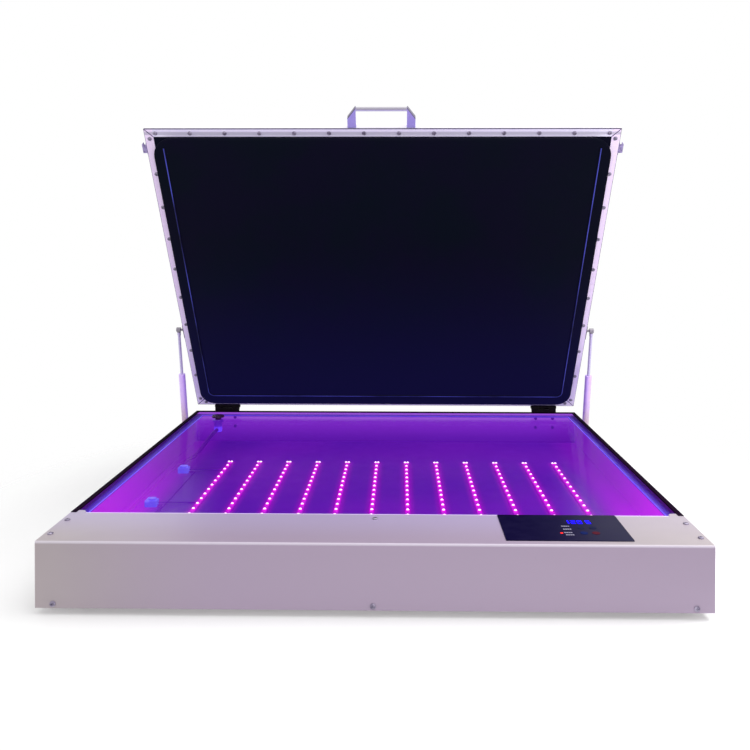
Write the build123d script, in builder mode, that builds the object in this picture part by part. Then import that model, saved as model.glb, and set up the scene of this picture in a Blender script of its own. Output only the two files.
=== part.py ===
"""Tabletop vacuum UV-LED screen exposure unit, lid held open by two gas springs.

+X is the right side seen from the front, +Y the back, +Z up. The origin lies on the
bench under the middle of the box. All sizes are millimetres.
"""

import os
from math import atan2, cos, degrees, hypot, radians, sin

from build123d import *

os.makedirs("parts", exist_ok=True)

# ------------------------------------------------------------------ driving dimensions
base_width = 1100.0
body_height = 109.0
foot_height = 12.0
foot_radius = 17.0
foot_inset = 75.0
sheet = 1.5
fit_gap = 0.3
running_gap = 0.05

# front cover and the bay behind it
cover_depth = 140.0
cover_bend = 3.0
ear_depth = 12.0
ear_width = 15.0
ear_chamfer = 5.0
bay_depth = 126.0
front_lip = 24.0
cover_flange = 22.0

# glass, its ledge and its black rim
glass_thickness = 6.0
glass_side_gap = 1.5
ledge_width = 23.5
ledge_drop = 14.0
front_ledge = 10.0
gasket_width = 4.0
gasket_thickness = 1.0
rim_width = 10.0
rim_thickness = 2.5

# lamp deck and its bars of diodes
deck_drop = 83.2
deck_side_gap = 1.0
deck_back_gap = 18.0
bar_count = 12
first_bar_in = 152.35
last_bar_in = 108.35
bar_width = 12.0
board_thickness = 1.6
chip_pitch = 33.3
chip_size = 5.0
chip_height = 1.6
chip_rows = 19
connector_in = 55.0
wire_lane_ins = (77.0, 82.0)
bar_back = 778.0
pair_spread = 7.0

# screws
head_radius = 4.75
head_height = 2.5
screw_radius = 2.0
screw_gap = 0.15
recess_length = 5.2
recess_width = 1.1
recess_depth = 1.2

# lid
lid_open_deg = 56.4
lid_length = 882.0
lid_gap = 20.0
lid_front_gap = 4.7
rail_size = 25.0
rail_wall = 1.5
strip_width = 20.0
strip_thickness = 2.0
strip_screw_inset = 11.0
lip_screw_in = 29.0
strip_row_count = 14
strip_side_count = 10
strip_side_end = 25.0
blanket_thickness = 2.5
blanket_margin = 3.0
crown_height = 16.0
crown_draft = 1.0
crown_inset = 0.5
crown_low_radius = 40.0
crown_high_radius = 45.0
bead_width = 5.0
bead_height = 3.0
bead_inset = 45.0
bead_low = 54.0
bead_end_gap = 41.0
bead_corner = 16.0

# hinges
hinge_in = 89.0
hinge_width = 70.0
hinge_back = 8.0
hinge_rise = 13.5
hinge_inset = 1.3
knuckle_radius = 5.5
pin_radius = 3.0
knuckle_gap = 0.5
middle_knuckle = 30.0
leaf_thickness = 3.0
leaf_drop = 62.0
bolt_spacing = 49.0
upper_bolt_drop = 17.0
lower_bolt_drop = 43.0
bolt_radius = 2.5
nut_flat = 4.0
nut_thickness = 3.2
leaf_screw_rows = (7.5, 17.5)

# gas springs
lid_stud_gap = 0.3
cylinder_cap = 8.0
cylinder_foot = 4.0
spring_out = 18.0
spring_lid_reach = 270.0
spring_lid_depth = 17.0
spring_foot_back = 44.6
spring_foot_drop = 70.0
cylinder_radius = 9.0
cylinder_wall = 1.2
rod_radius = 4.0
rod_exposed = 131.6
foot_end = 18.0
socket_radius = 6.5
socket_neck = 15.0
stud_radius = 3.0
stud_ball = 4.5
bracket_thickness = 3.0
bracket_width = 24.0
bracket_length = 46.0
bracket_screw_spacing = 32.0
screw_end = 0.8
piston_length = 9.0
rod_inside = 62.0
socket_half = 5.5
neck_radius = 5.0
stud_hex = 5.5
stud_hex_length = 3.0

# latches on the sides
latch_end_gap = 52.0
keeper_width = 22.0
keeper_plate_width = 30.0
keeper_sheet = 1.5
keeper_out = 11.0
keeper_lip = 12.0
keeper_plate = 22.0
keeper_low = 2.0
rivet_radius = 3.0
rivet_height = 1.0
latch_pin_drop = 30.0
latch_pin_out = 8.0
latch_pin_radius = 1.5
latch_pin_half = 12.6
latch_plate_height = 54.0
latch_plate_top = 24.0
latch_screw_drops = (50.0, 70.0)
latch_ear_half = 9.7
latch_ear_round = 4.0
lever_width = 24.0
lever_length = 48.0
lever_sheet = 1.5
lever_round = 5.4
lever_face = 4.5
lever_plate_start = 6.0
lever_lip = 4.0
bail_wire = 1.5
bail_drop = 10.0
bail_in = 1.0
bail_half_width = 15.0
bail_length = 65.3
bail_corner = 4.0
bail_end_corner = 2.5
bail_gap = 0.1
bail_hook_in = 10.2

# handle
handle_width = 156.0
handle_height = 48.0
handle_sheet = 2.0
handle_leg = 19.5
handle_bar = 7.0
handle_corner_x = 18.0
handle_corner_v = 24.0
handle_depth = 4.5
handle_lip = 8.0
handle_wing = 14.0
handle_foot = 14.0
handle_screw_x = 68.0

# control panel
panel_in = 228.5
panel_front = 15.5
panel_width = 209.0
panel_depth = 122.5
panel_thickness = 1.2
window_in = 200.0
window_y = 102.0
window_width = 56.0
window_depth = 30.0
lamp_in = 236.0
lamp_y = 49.2
lamp_radius = 2.5
key_ins = (198.5, 178.5)
key_y = (50.0, 74.4)
key_radius = 6.5
key_gap = 0.3
key_proud = 0.4
key_stem_radius = 2.5
key_travel = 0.6
board_drop = 20.0
board_width = 180.0
board_depth = 96.0
standoff_radius = 3.0

# vacuum
port_in = 80.0
port_back = 75.0
port_hole = 8.0
port_radius = 17.0
port_height = 5.0
port_bore = 3.0
nut_radius = 15.0
nut_height = 8.0
elbow_radius = 7.0
elbow_drop = 27.0
elbow_length = 24.0
hose_radius = 5.0
hose_bore = 3.0
pump_in = 150.0
hose_hole_in = 50.0
hose_lane_in = 22.0
pump_y = 68.0

# side openings of the front bay
inlet_y = 66.0
inlet_drop = 56.0
inlet_width = 48.0
inlet_height = 27.0
socket_width = 24.0
socket_height = 16.5
socket_depth = 17.0
fan_y = 64.0
fan_drop = 56.0
fan_size = 80.0
fan_depth = 25.0
fan_bore = 37.0
fan_hub = 17.0
blade_count = 7
vent_slots = 6

# ------------------------------------------------------------------ derived places
# the lid covers the base from its hinges to a gap behind the front cover
base_depth = cover_depth + lid_front_gap + lid_length + hinge_inset - hinge_back
front_y = -base_depth / 2
back_y = base_depth / 2
side_x = base_width / 2
hinge_x = side_x - hinge_in
spring_x = side_x + spring_out
port_x = port_in - side_x
panel_x = side_x - panel_in
window_x = side_x - window_in
lamp_x = side_x - lamp_in
key_x = [side_x - inset for inset in key_ins]
pump_x = pump_in - side_x
latch_reach = lid_length - latch_end_gap
bead_high = lid_length - bead_end_gap
floor_z = foot_height
top_z = foot_height + body_height
inner_x = side_x - sheet
inner_back = back_y - sheet
inner_floor = floor_z + sheet
wall_top = top_z - sheet
glass_top = wall_top
glass_bottom = glass_top - glass_thickness
ledge_top = glass_bottom - gasket_thickness
ledge_x = inner_x - ledge_width
bay_back = front_y + bay_depth
glass_front = bay_back + sheet + 2.0
deck_top = top_z - deck_drop
sides = (-1, 1)

# lid plane: x across, y from the hinge edge to the free edge, z towards the glass side
lid_angle = radians(lid_open_deg)
lid_dir = Vector(0, -cos(lid_angle), sin(lid_angle))
lid_in = Vector(0, -sin(lid_angle), -cos(lid_angle))
hinge_depth = lid_gap - hinge_rise
hinge_axis = Vector(0, back_y + hinge_back, top_z + hinge_rise)
lid_edge = hinge_axis - lid_dir * hinge_inset - lid_in * hinge_depth
lid_plane = Plane(origin=lid_edge, x_dir=(1, 0, 0), z_dir=lid_in)
rail_face = -strip_thickness - blanket_thickness
rail_middle = rail_face - rail_size / 2
rail_back = rail_face - rail_size


def lid_point(x, along, depth):
    """A point given in the lid's own directions, as a point of the whole machine."""
    return lid_plane.from_local_coords(Vector(x, along, depth))


def finish(part, name):
    part.part.label = name
    export_step(part.part, f"parts/{name}.step")


def spread(count, pitch):
    return [(i - (count - 1) / 2) * pitch for i in range(count)]


def pan_screw(length, head=head_radius, height=head_height, shank=screw_radius):
    """A cross-recessed pan head with its shank, built where the open Locations stand."""
    rim = height * 0.6
    Cylinder(head, rim, align=(Align.CENTER, Align.CENTER, Align.MIN))
    with Locations((0, 0, rim)):
        Cone(head, head * 0.68, height - rim, align=(Align.CENTER, Align.CENTER, Align.MIN))
    Cylinder(shank, length, align=(Align.CENTER, Align.CENTER, Align.MAX))
    with Locations((0, 0, height - recess_depth)):
        Box(recess_length, recess_width, height, align=(Align.CENTER, Align.CENTER, Align.MIN),
            mode=Mode.SUBTRACT)
        Box(recess_width, recess_length, height, align=(Align.CENTER, Align.CENTER, Align.MIN),
            mode=Mode.SUBTRACT)


# ------------------------------------------------------------------ box of the base


def hinge_bolt_planes(drop):
    return [
        Plane(origin=(s * hinge_x + dx, back_y + leaf_thickness, top_z - drop),
              x_dir=(-1, 0, 0), z_dir=(0, 1, 0))
        for s in sides for dx in spread(2, bolt_spacing)
    ]


upper_bolts = hinge_bolt_planes(upper_bolt_drop)
lower_bolts = hinge_bolt_planes(lower_bolt_drop)
cover_screw_y = (front_y + 33.0, front_y + 100.0)
cover_screw_x = side_x - strip_screw_inset
middle_screw_y = front_y + 115.0
lip_screw_x = (lip_screw_in - side_x, 0.0, side_x - lip_screw_in)
lip_screw_z = floor_z + 7.0
cover_screw_spots = [
    Plane(origin=(s * cover_screw_x, y, top_z)) for s in sides for y in cover_screw_y
]
cover_screw_spots.append(Plane(origin=(0, middle_screw_y, top_z)))
lip_screw_spots = [
    Plane(origin=(x, front_y, lip_screw_z), x_dir=(1, 0, 0), z_dir=(0, -1, 0))
    for x in lip_screw_x
]
spring_foot = Vector(0, back_y - spring_foot_back, top_z - spring_foot_drop)
latch_y = back_y + hinge_back + hinge_inset - latch_reach
bracket_screw_spots = [
    Plane(origin=(s * (side_x + bracket_thickness), spring_foot.Y, spring_foot.Z + dz),
          z_dir=(s, 0, 0))
    for s in sides for dz in spread(2, bracket_screw_spacing)
]
latch_screw_spots = [
    Plane(origin=(s * (side_x + sheet), latch_y, top_z - drop), z_dir=(s, 0, 0))
    for s in sides for drop in latch_screw_drops
]
tray_front = front_y + sheet
tray_depth = base_depth - sheet
tray_y = (tray_front + back_y) / 2

with BuildPart() as base_tray:
    with BuildSketch(Plane.XY.offset(floor_z)):
        with Locations((0, tray_y)):
            Rectangle(base_width, tray_depth)
    extrude(amount=wall_top - floor_z)
    with BuildSketch(Plane.XY.offset(inner_floor)):
        with Locations((0, tray_y)):
            Rectangle(base_width - 2 * sheet, tray_depth - 2 * sheet)
    extrude(amount=body_height, mode=Mode.SUBTRACT)
    with BuildSketch(Plane.XY.offset(floor_z + front_lip)):
        with Locations((0, tray_front + sheet / 2)):
            Rectangle(base_width - 2 * sheet, sheet)
    extrude(amount=body_height, mode=Mode.SUBTRACT)
    # flanges along both sides of the bay carry the cover
    flange_length = bay_depth - 2 * sheet - fit_gap
    for s in sides:
        with Locations((s * (inner_x - cover_flange / 2), tray_front + flange_length / 2, wall_top)):
            Box(cover_flange, flange_length, sheet, align=(Align.CENTER, Align.CENTER, Align.MAX))
    with Locations(*cover_screw_spots):
        Hole(screw_radius + screw_gap, 10.0)
    with Locations(*lip_screw_spots):
        Hole(screw_radius + screw_gap, 10.0)
    with Locations(*upper_bolts, *lower_bolts):
        Hole(bolt_radius + screw_gap, 12.0)
    with Locations(*bracket_screw_spots, *latch_screw_spots):
        Hole(screw_radius + screw_gap, 8.0)
    # vent slots beside the fan on the left, cut-out of the mains inlet on the right
    for i in range(vent_slots):
        slot_z = top_z - fan_drop + (i - (vent_slots - 1) / 2) * 10.0
        with Locations((-side_x, front_y + fan_y, slot_z)):
            Box(4 * sheet, 56.0, 4.0, mode=Mode.SUBTRACT)
    with Locations((side_x, front_y + inlet_y, top_z - inlet_drop)):
        Box(4 * sheet, inlet_width, inlet_height, mode=Mode.SUBTRACT)
finish(base_tray, "base_tray")

with BuildPart() as front_cover:
    cover_back = front_y + cover_depth
    with BuildSketch(Plane.YZ.offset(-side_x)):
        with BuildLine():
            Polyline(
                (front_y, floor_z), (front_y, top_z), (cover_back, top_z),
                (cover_back, wall_top), (front_y + sheet, wall_top), (front_y + sheet, floor_z),
                close=True,
            )
        make_face()
    extrude(amount=base_width)
    bend_edge = front_cover.edges().filter_by(Axis.X).sort_by_distance((0, front_y, top_z))[0]
    fillet(bend_edge, cover_bend)
    # two ears close the corners between the rim and the open glass
    for s in sides:
        with BuildSketch(Plane.XY.offset(wall_top)):
            ear_outer = side_x - rim_width - fit_gap
            with BuildLine():
                Polyline(
                    (s * ear_outer, cover_back), (s * ear_outer, cover_back + ear_depth),
                    (s * (ear_outer - ear_width + ear_chamfer), cover_back + ear_depth),
                    (s * (ear_outer - ear_width), cover_back + ear_depth - ear_chamfer),
                    (s * (ear_outer - ear_width), cover_back),
                    close=True,
                )
            make_face()
        extrude(amount=sheet)
    with Locations(*cover_screw_spots):
        Hole(screw_radius + screw_gap, 10.0)
    with Locations(*lip_screw_spots):
        Hole(screw_radius + screw_gap, 10.0)
    with Locations((window_x, front_y + window_y, top_z)):
        Box(window_width, window_depth, 4 * sheet, mode=Mode.SUBTRACT)
    with Locations((lamp_x, front_y + lamp_y, top_z)):
        Hole(lamp_radius + screw_gap, 10.0)
    with Locations(*[(x, front_y + y, top_z) for x in key_x for y in key_y]):
        Hole(key_radius + key_gap, 10.0)
finish(front_cover, "front_cover")

with BuildPart() as cover_screws:
    with Locations(*cover_screw_spots, *lip_screw_spots):
        pan_screw(8.0)
finish(cover_screws, "cover_screws")

hose_hole = Vector(hose_hole_in - side_x, bay_back, deck_top + hose_radius + 1.5)
wire_radius = 1.5
wire_z = deck_top + wire_radius
connector_size = (26.0, 22.0, 13.0)
connector_x = connector_in - side_x
connector_ys = (front_y + 429.0, front_y + 683.0)
wire_lanes = [lane - side_x for lane in wire_lane_ins]
wire_hop = 4.0
with BuildPart() as divider_panel:
    web_low = inner_floor
    web_high = wall_top - sheet
    with Locations((0, bay_back + sheet / 2, web_low)):
        Box(2 * inner_x - 2 * fit_gap, sheet, web_high - web_low - fit_gap,
            align=(Align.CENTER, Align.CENTER, Align.MIN))
    # forward flange under the cover's middle screw, rearward flange under the glass
    top_left = -inner_x + cover_flange + 1.0
    top_right = panel_x - panel_width / 2 - 10.0
    with Locations((top_left, bay_back + sheet, wall_top)):
        Box(top_right - top_left, 21.0 + sheet, sheet, align=(Align.MIN, Align.MAX, Align.MAX))
        Box(top_right - top_left, sheet, 3 * sheet, align=(Align.MIN, Align.MAX, Align.MAX))
    with Locations((0, bay_back, ledge_top)):
        Box(2 * ledge_x - 1.0, front_ledge + sheet, sheet,
            align=(Align.CENTER, Align.MIN, Align.MAX))
    with Locations((0, middle_screw_y, top_z)):
        Hole(screw_radius + screw_gap, 10.0)
    with Locations(Plane(origin=hose_hole, z_dir=(0, -1, 0))):
        Hole(hose_radius + fit_gap, 10.0)
    with Locations(*[Plane(origin=(x, bay_back, wire_z), z_dir=(0, -1, 0)) for x in wire_lanes]):
        Hole(wire_radius + fit_gap, 10.0)
finish(divider_panel, "divider_panel")

# ------------------------------------------------------------------ glass and its seat
ledge_front = bay_back + sheet + fit_gap
with BuildPart() as glass_ledge:
    ledge_run = inner_back - ledge_front
    for s in sides:
        with Locations((s * inner_x, ledge_front, ledge_top)):
            outer = Align.MAX if s > 0 else Align.MIN
            Box(ledge_width, ledge_run, sheet, align=(outer, Align.MIN, Align.MAX))
            Box(sheet, ledge_run, ledge_drop, align=(outer, Align.MIN, Align.MAX))
    back_half = ledge_x - fit_gap
    with Locations((0, inner_back, ledge_top)):
        Box(2 * back_half, ledge_width, sheet, align=(Align.CENTER, Align.MAX, Align.MAX))
        Box(2 * back_half, sheet, ledge_drop, align=(Align.CENTER, Align.MAX, Align.MAX))
    with Locations(*upper_bolts):
        Hole(bolt_radius + screw_gap, 12.0)
finish(glass_ledge, "glass_ledge")

gasket_front = glass_front + 2.0
gasket_back = inner_back - ledge_width
with BuildPart() as glass_gasket:
    with BuildSketch(Plane.XY.offset(ledge_top)):
        with Locations((0, (gasket_front + gasket_back) / 2 + gasket_width / 2)):
            Rectangle(2 * (ledge_x + gasket_width), gasket_back - gasket_front + gasket_width)
        with Locations((0, (gasket_front + gasket_back) / 2 + gasket_width / 2)):
            Rectangle(2 * ledge_x, gasket_back - gasket_front - gasket_width, mode=Mode.SUBTRACT)
    extrude(amount=gasket_thickness)
finish(glass_gasket, "glass_gasket")

glass_half = inner_x - glass_side_gap
glass_back = inner_back - glass_side_gap
port_spot = (port_x, back_y - port_back)
with BuildPart() as glass_plate:
    with BuildSketch(Plane.XY.offset(glass_bottom)):
        with Locations((0, (glass_front + glass_back) / 2)):
            Rectangle(2 * glass_half, glass_back - glass_front)
        with Locations(port_spot):
            Circle(port_hole, mode=Mode.SUBTRACT)
    extrude(amount=glass_thickness)
finish(glass_plate, "glass_plate")

rim_front = front_y + cover_depth + fit_gap
with BuildPart() as rim_seal:
    with BuildSketch(Plane.XY.offset(wall_top)):
        with Locations((0, back_y)):
            Rectangle(base_width, back_y - rim_front, align=(Align.CENTER, Align.MAX))
        with Locations((0, back_y - rim_width)):
            Rectangle(base_width - 2 * rim_width, back_y - rim_front, align=(Align.CENTER, Align.MAX),
                      mode=Mode.SUBTRACT)
    extrude(amount=rim_thickness)
    fillet(rim_seal.faces().sort_by(Axis.Z)[-1].edges(), 0.6)
finish(rim_seal, "rim_seal")

# ------------------------------------------------------------------ lamp deck and bars
deck_half = inner_x - deck_side_gap
deck_front = bay_back + sheet + 2.0
deck_back = inner_back - deck_back_gap
with BuildPart() as lamp_deck:
    with Locations((0, deck_front, deck_top)):
        Box(2 * deck_half, deck_back - deck_front, sheet, align=(Align.CENTER, Align.MIN, Align.MAX))
    for leg_x in spread(4, (2 * deck_half - sheet) / 3):
        with Locations((leg_x, deck_front, inner_floor)):
            Box(sheet, deck_back - deck_front, deck_top - inner_floor - sheet / 2,
                align=(Align.CENTER, Align.MIN, Align.MIN))
finish(lamp_deck, "lamp_deck")

bar_pitch = (base_width - first_bar_in - last_bar_in) / (bar_count - 1)
bar_xs = [first_bar_in - side_x + i * bar_pitch for i in range(bar_count)]
bar_end = front_y + bar_back
last_chip = bar_end - 8.0
chip_ys = [last_chip - i * chip_pitch for i in range(chip_rows)]
bar_start = chip_ys[-1] - 10.0
with BuildPart() as led_bars:
    for x in bar_xs:
        with Locations((x, (bar_start + bar_end) / 2, deck_top)):
            Box(bar_width, bar_end - bar_start, board_thickness,
                align=(Align.CENTER, Align.CENTER, Align.MIN))
        chip_spots = [(x, y, deck_top + board_thickness) for y in chip_ys[1:]]
        chip_spots += [(x + dx, last_chip, deck_top + board_thickness) for dx in spread(2, pair_spread)]
        with Locations(*chip_spots):
            Box(chip_size, chip_size, chip_height, align=(Align.CENTER, Align.CENTER, Align.MIN))
finish(led_bars, "led_bars")

with BuildPart() as wire_connectors:
    for y in connector_ys:
        with Locations((connector_x, y, deck_top)):
            Box(*connector_size, align=(Align.CENTER, Align.CENTER, Align.MIN))
        with Locations((connector_x, y, deck_top + connector_size[2])):
            Box(connector_size[0] - 8.0, connector_size[1] - 6.0, 4.0,
                align=(Align.CENTER, Align.CENTER, Align.MIN))
    chamfer(wire_connectors.edges().filter_by(Axis.Z), 2.0)
finish(wire_connectors, "wire_connectors")



def tube_along(points, radii, outer, bore=0.0):
    """A round tube along straight runs joined by tangent arcs."""
    with BuildPart() as tube:
        with BuildLine() as route:
            FilletPolyline(*points, radius=radii)
        with BuildSketch(Plane(origin=route.line @ 0, z_dir=route.line % 0)):
            Circle(outer)
            if bore:
                Circle(bore, mode=Mode.SUBTRACT)
        sweep(path=route.line)
    return tube.part


supply_size = (215.0, 100.0, 48.0)
supply_xs = (-110.0, 150.0)
supply_end = supply_xs[0] - supply_size[0] / 2
connector_side = connector_x + connector_size[0] / 2
with BuildPart() as lamp_wires:
    # from each connector forward through the divider and across to the first supply
    for lane, y, entry in zip(wire_lanes, connector_ys, (front_y + 107.0, front_y + 111.0)):
        add(tube_along(
            [(connector_side, y, wire_z), (lane, y, wire_z), (lane, entry, wire_z),
             (supply_end, entry, wire_z)],
            [4.0, 6.0], wire_radius))
    # from each connector to the first bar, then from bar to bar at their front ends
    for y in connector_ys:
        bar_side = bar_xs[0] - bar_width / 2
        add(tube_along(
            [(connector_side, y + 6.0, wire_z + wire_hop),
             (connector_side + 24.0, y + 6.0, wire_z + wire_hop),
             (bar_side - 16.0, y + 20.0, wire_z), (bar_side, y + 20.0, wire_z)],
            [12.0, 12.0], wire_radius))
    jumper_spots = [
        Plane(origin=(x + bar_width / 2, bar_start + dy, wire_z), z_dir=(1, 0, 0))
        for x in bar_xs[:-1] for dy in (4.0, 10.0)
    ]
    with Locations(*jumper_spots):
        Cylinder(wire_radius, bar_pitch - bar_width, align=(Align.CENTER, Align.CENTER, Align.MIN))
finish(lamp_wires, "lamp_wires")

# ------------------------------------------------------------------ front bay
with BuildPart() as power_supplies:
    with Locations(*[(x, front_y + bay_depth / 2, inner_floor) for x in supply_xs]):
        Box(*supply_size, align=(Align.CENTER, Align.CENTER, Align.MIN))
    chamfer(power_supplies.edges().filter_by(Axis.Z), 1.5)
    # terminal row at one end of each supply
    terminal_spots = [(x + supply_size[0] / 2, front_y + bay_depth / 2, inner_floor + supply_size[2])
                      for x in supply_xs]
    with Locations(*terminal_spots):
        Box(14.0, supply_size[1] - 16.0, 20.0, align=(Align.MAX, Align.CENTER, Align.MAX),
            mode=Mode.SUBTRACT)
finish(power_supplies, "power_supplies")

pump_axis_z = inner_floor + 36.0
pump_port = Vector(hose_hole.X, front_y + pump_y + 22.0, hose_hole.Z)
with BuildPart() as vacuum_pump:
    # cast head, round motor behind it and a foot plate under both
    with Locations((pump_x, front_y + pump_y, inner_floor)):
        Box(150.0, 64.0, 4.0, align=(Align.CENTER, Align.CENTER, Align.MIN))
    with Locations((pump_x - 42.0, front_y + pump_y, inner_floor)):
        Box(50.0, 56.0, 72.0, align=(Align.CENTER, Align.CENTER, Align.MIN))
    with Locations(Plane(origin=(pump_x - 20.0, front_y + pump_y, pump_axis_z), z_dir=(1, 0, 0))):
        Cylinder(27.0, 88.0, align=(Align.CENTER, Align.CENTER, Align.MIN))
    with Locations((pump_x + 20.0, front_y + pump_y, inner_floor)):
        Box(60.0, 30.0, 14.0, align=(Align.CENTER, Align.CENTER, Align.MIN))
    # suction nipple beside the head
    with Locations((pump_x - 66.0, pump_port.Y - 8.0, pump_port.Z)):
        Box(pump_x - 66.0 - pump_port.X + 7.0, 14.0, 14.0, align=(Align.MAX, Align.CENTER, Align.CENTER))
    with Locations(Plane(origin=(pump_port.X, pump_port.Y - 4.0, pump_port.Z), z_dir=(0, 1, 0))):
        Cylinder(hose_bore - fit_gap / 2, 16.0, align=(Align.CENTER, Align.CENTER, Align.MIN))
finish(vacuum_pump, "vacuum_pump")

with BuildPart() as cooling_fan:
    fan_centre = (-inner_x, front_y + fan_y, top_z - fan_drop)
    fan_plane = Plane(origin=fan_centre, x_dir=(0, 1, 0), z_dir=(1, 0, 0))
    with BuildSketch(fan_plane):
        RectangleRounded(fan_size, fan_size, 4.0)
        Circle(fan_bore + 1.0, mode=Mode.SUBTRACT)
    extrude(amount=fan_depth)
    # bearing tube on four struts
    with BuildSketch(fan_plane):
        Circle(fan_hub - 3.0)
        Rectangle(2 * fan_bore + 4.0, 5.0)
        Rectangle(5.0, 2 * fan_bore + 4.0)
        Circle(4.0, mode=Mode.SUBTRACT)
    extrude(amount=3.0)
finish(cooling_fan, "cooling_fan")

with BuildPart() as fan_rotor:
    rotor_plane = fan_plane.offset(3.0 + fit_gap)
    with BuildSketch(rotor_plane):
        Circle(fan_hub)
    extrude(amount=18.0)
    with BuildSketch(rotor_plane.offset(2.0)):
        with PolarLocations((fan_hub + fan_bore) / 2 - 1.0, blade_count):
            Rectangle(fan_bore - fan_hub, 3.0, rotation=0)
    extrude(amount=14.0)
    with BuildSketch(rotor_plane):
        Circle(4.0 - running_gap)
    extrude(amount=-3.0)
finish(fan_rotor, "fan_rotor")

inlet_plane = Plane(origin=(side_x, front_y + inlet_y, top_z - inlet_drop),
                    x_dir=(0, 1, 0), z_dir=(1, 0, 0))
socket_shift = 9.5
rocker_shift = -15.5
rocker_width = 12.0
rocker_height = 20.0
bezel = 2.0
with BuildPart() as power_inlet:
    with BuildSketch(inlet_plane):
        RectangleRounded(inlet_width + 8.0, inlet_height + 8.0, 3.0)
    extrude(amount=bezel)
    with BuildSketch(inlet_plane):
        Rectangle(inlet_width - 2 * fit_gap, inlet_height - 2 * fit_gap)
    extrude(amount=-24.0)
    with BuildSketch(inlet_plane.offset(bezel)):
        with Locations((socket_shift, 0)):
            Rectangle(socket_width, socket_height)
        with Locations((rocker_shift, 0)):
            Rectangle(rocker_width, rocker_height)
    extrude(amount=-socket_depth, mode=Mode.SUBTRACT)
    # three blades standing short of the socket's mouth
    with BuildSketch(inlet_plane.offset(bezel - socket_depth)):
        with Locations((socket_shift, 3.0), (socket_shift - 7.0, -2.5), (socket_shift + 7.0, -2.5)):
            Rectangle(2.0, 5.0)
    extrude(amount=10.0)
finish(power_inlet, "power_inlet")

rocker_pivot_depth = 4.0
rocker_tilt = 7.0
rocker_pivot = inlet_plane.from_local_coords(Vector(rocker_shift, 0, bezel - rocker_pivot_depth))
rocker_up = (sin(radians(rocker_tilt)), 0, cos(radians(rocker_tilt)))
rocker_plane = Plane(origin=rocker_pivot, x_dir=rocker_up, z_dir=(0, 1, 0))
with BuildPart() as rocker_switch:
    # a shallow V seen along its pin, lying with one end pressed in
    with BuildSketch(rocker_plane):
        with BuildLine():
            Polyline(
                (-8.7, 0.0), (-8.7, 6.2), (0.0, 4.6), (8.7, 6.2), (8.7, 0.0), (0.0, -5.0),
                close=True,
            )
        make_face()
    extrude(amount=rocker_width / 2 - fit_gap, both=True)
finish(rocker_switch, "rocker_switch")

with BuildPart() as rubber_feet:
    foot_spots = [(sx * (side_x - foot_inset), sy * (back_y - foot_inset), 0.0)
                  for sx in sides for sy in sides]
    # the fifth stands under the middle of the floor sheet
    with Locations((0, 0, 0), *foot_spots):
        Cylinder(foot_radius, foot_height, align=(Align.CENTER, Align.CENTER, Align.MIN))
    fillet(rubber_feet.edges().group_by(Axis.Z)[0], 2.0)
finish(rubber_feet, "rubber_feet")

# ------------------------------------------------------------------ control panel
panel_top = top_z + panel_thickness
panel_y = front_y + panel_front + panel_depth / 2
key_spots = [(x, front_y + y) for y in key_y for x in key_x]
with BuildPart() as control_panel:
    with BuildSketch(Plane.XY.offset(top_z)):
        with Locations((panel_x, panel_y)):
            RectangleRounded(panel_width, panel_depth, 2.0)
        with Locations((window_x, front_y + window_y)):
            Rectangle(window_width - 6.0, window_depth - 6.0, mode=Mode.SUBTRACT)
        with Locations((lamp_x, front_y + lamp_y)):
            Circle(lamp_radius + screw_gap, mode=Mode.SUBTRACT)
        with Locations(*key_spots):
            Circle(key_radius + key_gap, mode=Mode.SUBTRACT)
    extrude(amount=panel_thickness)
finish(control_panel, "control_panel")

board_top = top_z - board_drop
board_y = front_y + panel_front + board_depth / 2 + 4.0
standoff_spots = [(panel_x + sx * (board_width / 2 - 8.0), board_y + sy * (board_depth / 2 - 8.0))
                  for sx in sides for sy in sides]
switch_height = 6.0
with BuildPart() as control_board:
    with BuildSketch(Plane.XY.offset(board_top)):
        with Locations((panel_x, board_y)):
            Rectangle(board_width, board_depth)
    extrude(amount=-board_thickness)
    with BuildSketch(Plane.XY.offset(board_top)):
        with Locations(*standoff_spots):
            Circle(standoff_radius)
    extrude(amount=wall_top - board_top)
    # tact switches under the keys and the lamp's post
    with BuildSketch(Plane.XY.offset(board_top)):
        with Locations(*key_spots):
            Rectangle(6.0, 6.0)
    extrude(amount=switch_height)
    with BuildSketch(Plane.XY.offset(board_top)):
        with Locations((window_x, front_y + window_y)):
            Rectangle(window_width - 8.0, window_depth - 8.0)
    extrude(amount=wall_top - board_top - 4.0)
finish(control_board, "control_board")

with BuildPart() as display_window:
    window_low = board_top + (wall_top - board_top - 4.0)
    with BuildSketch(Plane.XY.offset(window_low)):
        with Locations((window_x, front_y + window_y)):
            Rectangle(window_width - 1.0, window_depth - 1.0)
    extrude(amount=top_z - window_low)
    with BuildSketch(Plane.XY.offset(top_z)):
        with Locations((window_x, front_y + window_y)):
            Rectangle(window_width - 6.4, window_depth - 6.4)
    extrude(amount=panel_thickness)
finish(display_window, "display_window")

with BuildPart() as indicator_lamp:
    with BuildSketch(Plane.XY.offset(board_top)):
        with Locations((lamp_x, front_y + lamp_y)):
            Circle(lamp_radius)
    extrude(amount=panel_top - board_top + 0.6)
    fillet(indicator_lamp.edges().group_by(Axis.Z)[-1], 1.0)
finish(indicator_lamp, "indicator_lamp")

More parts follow.
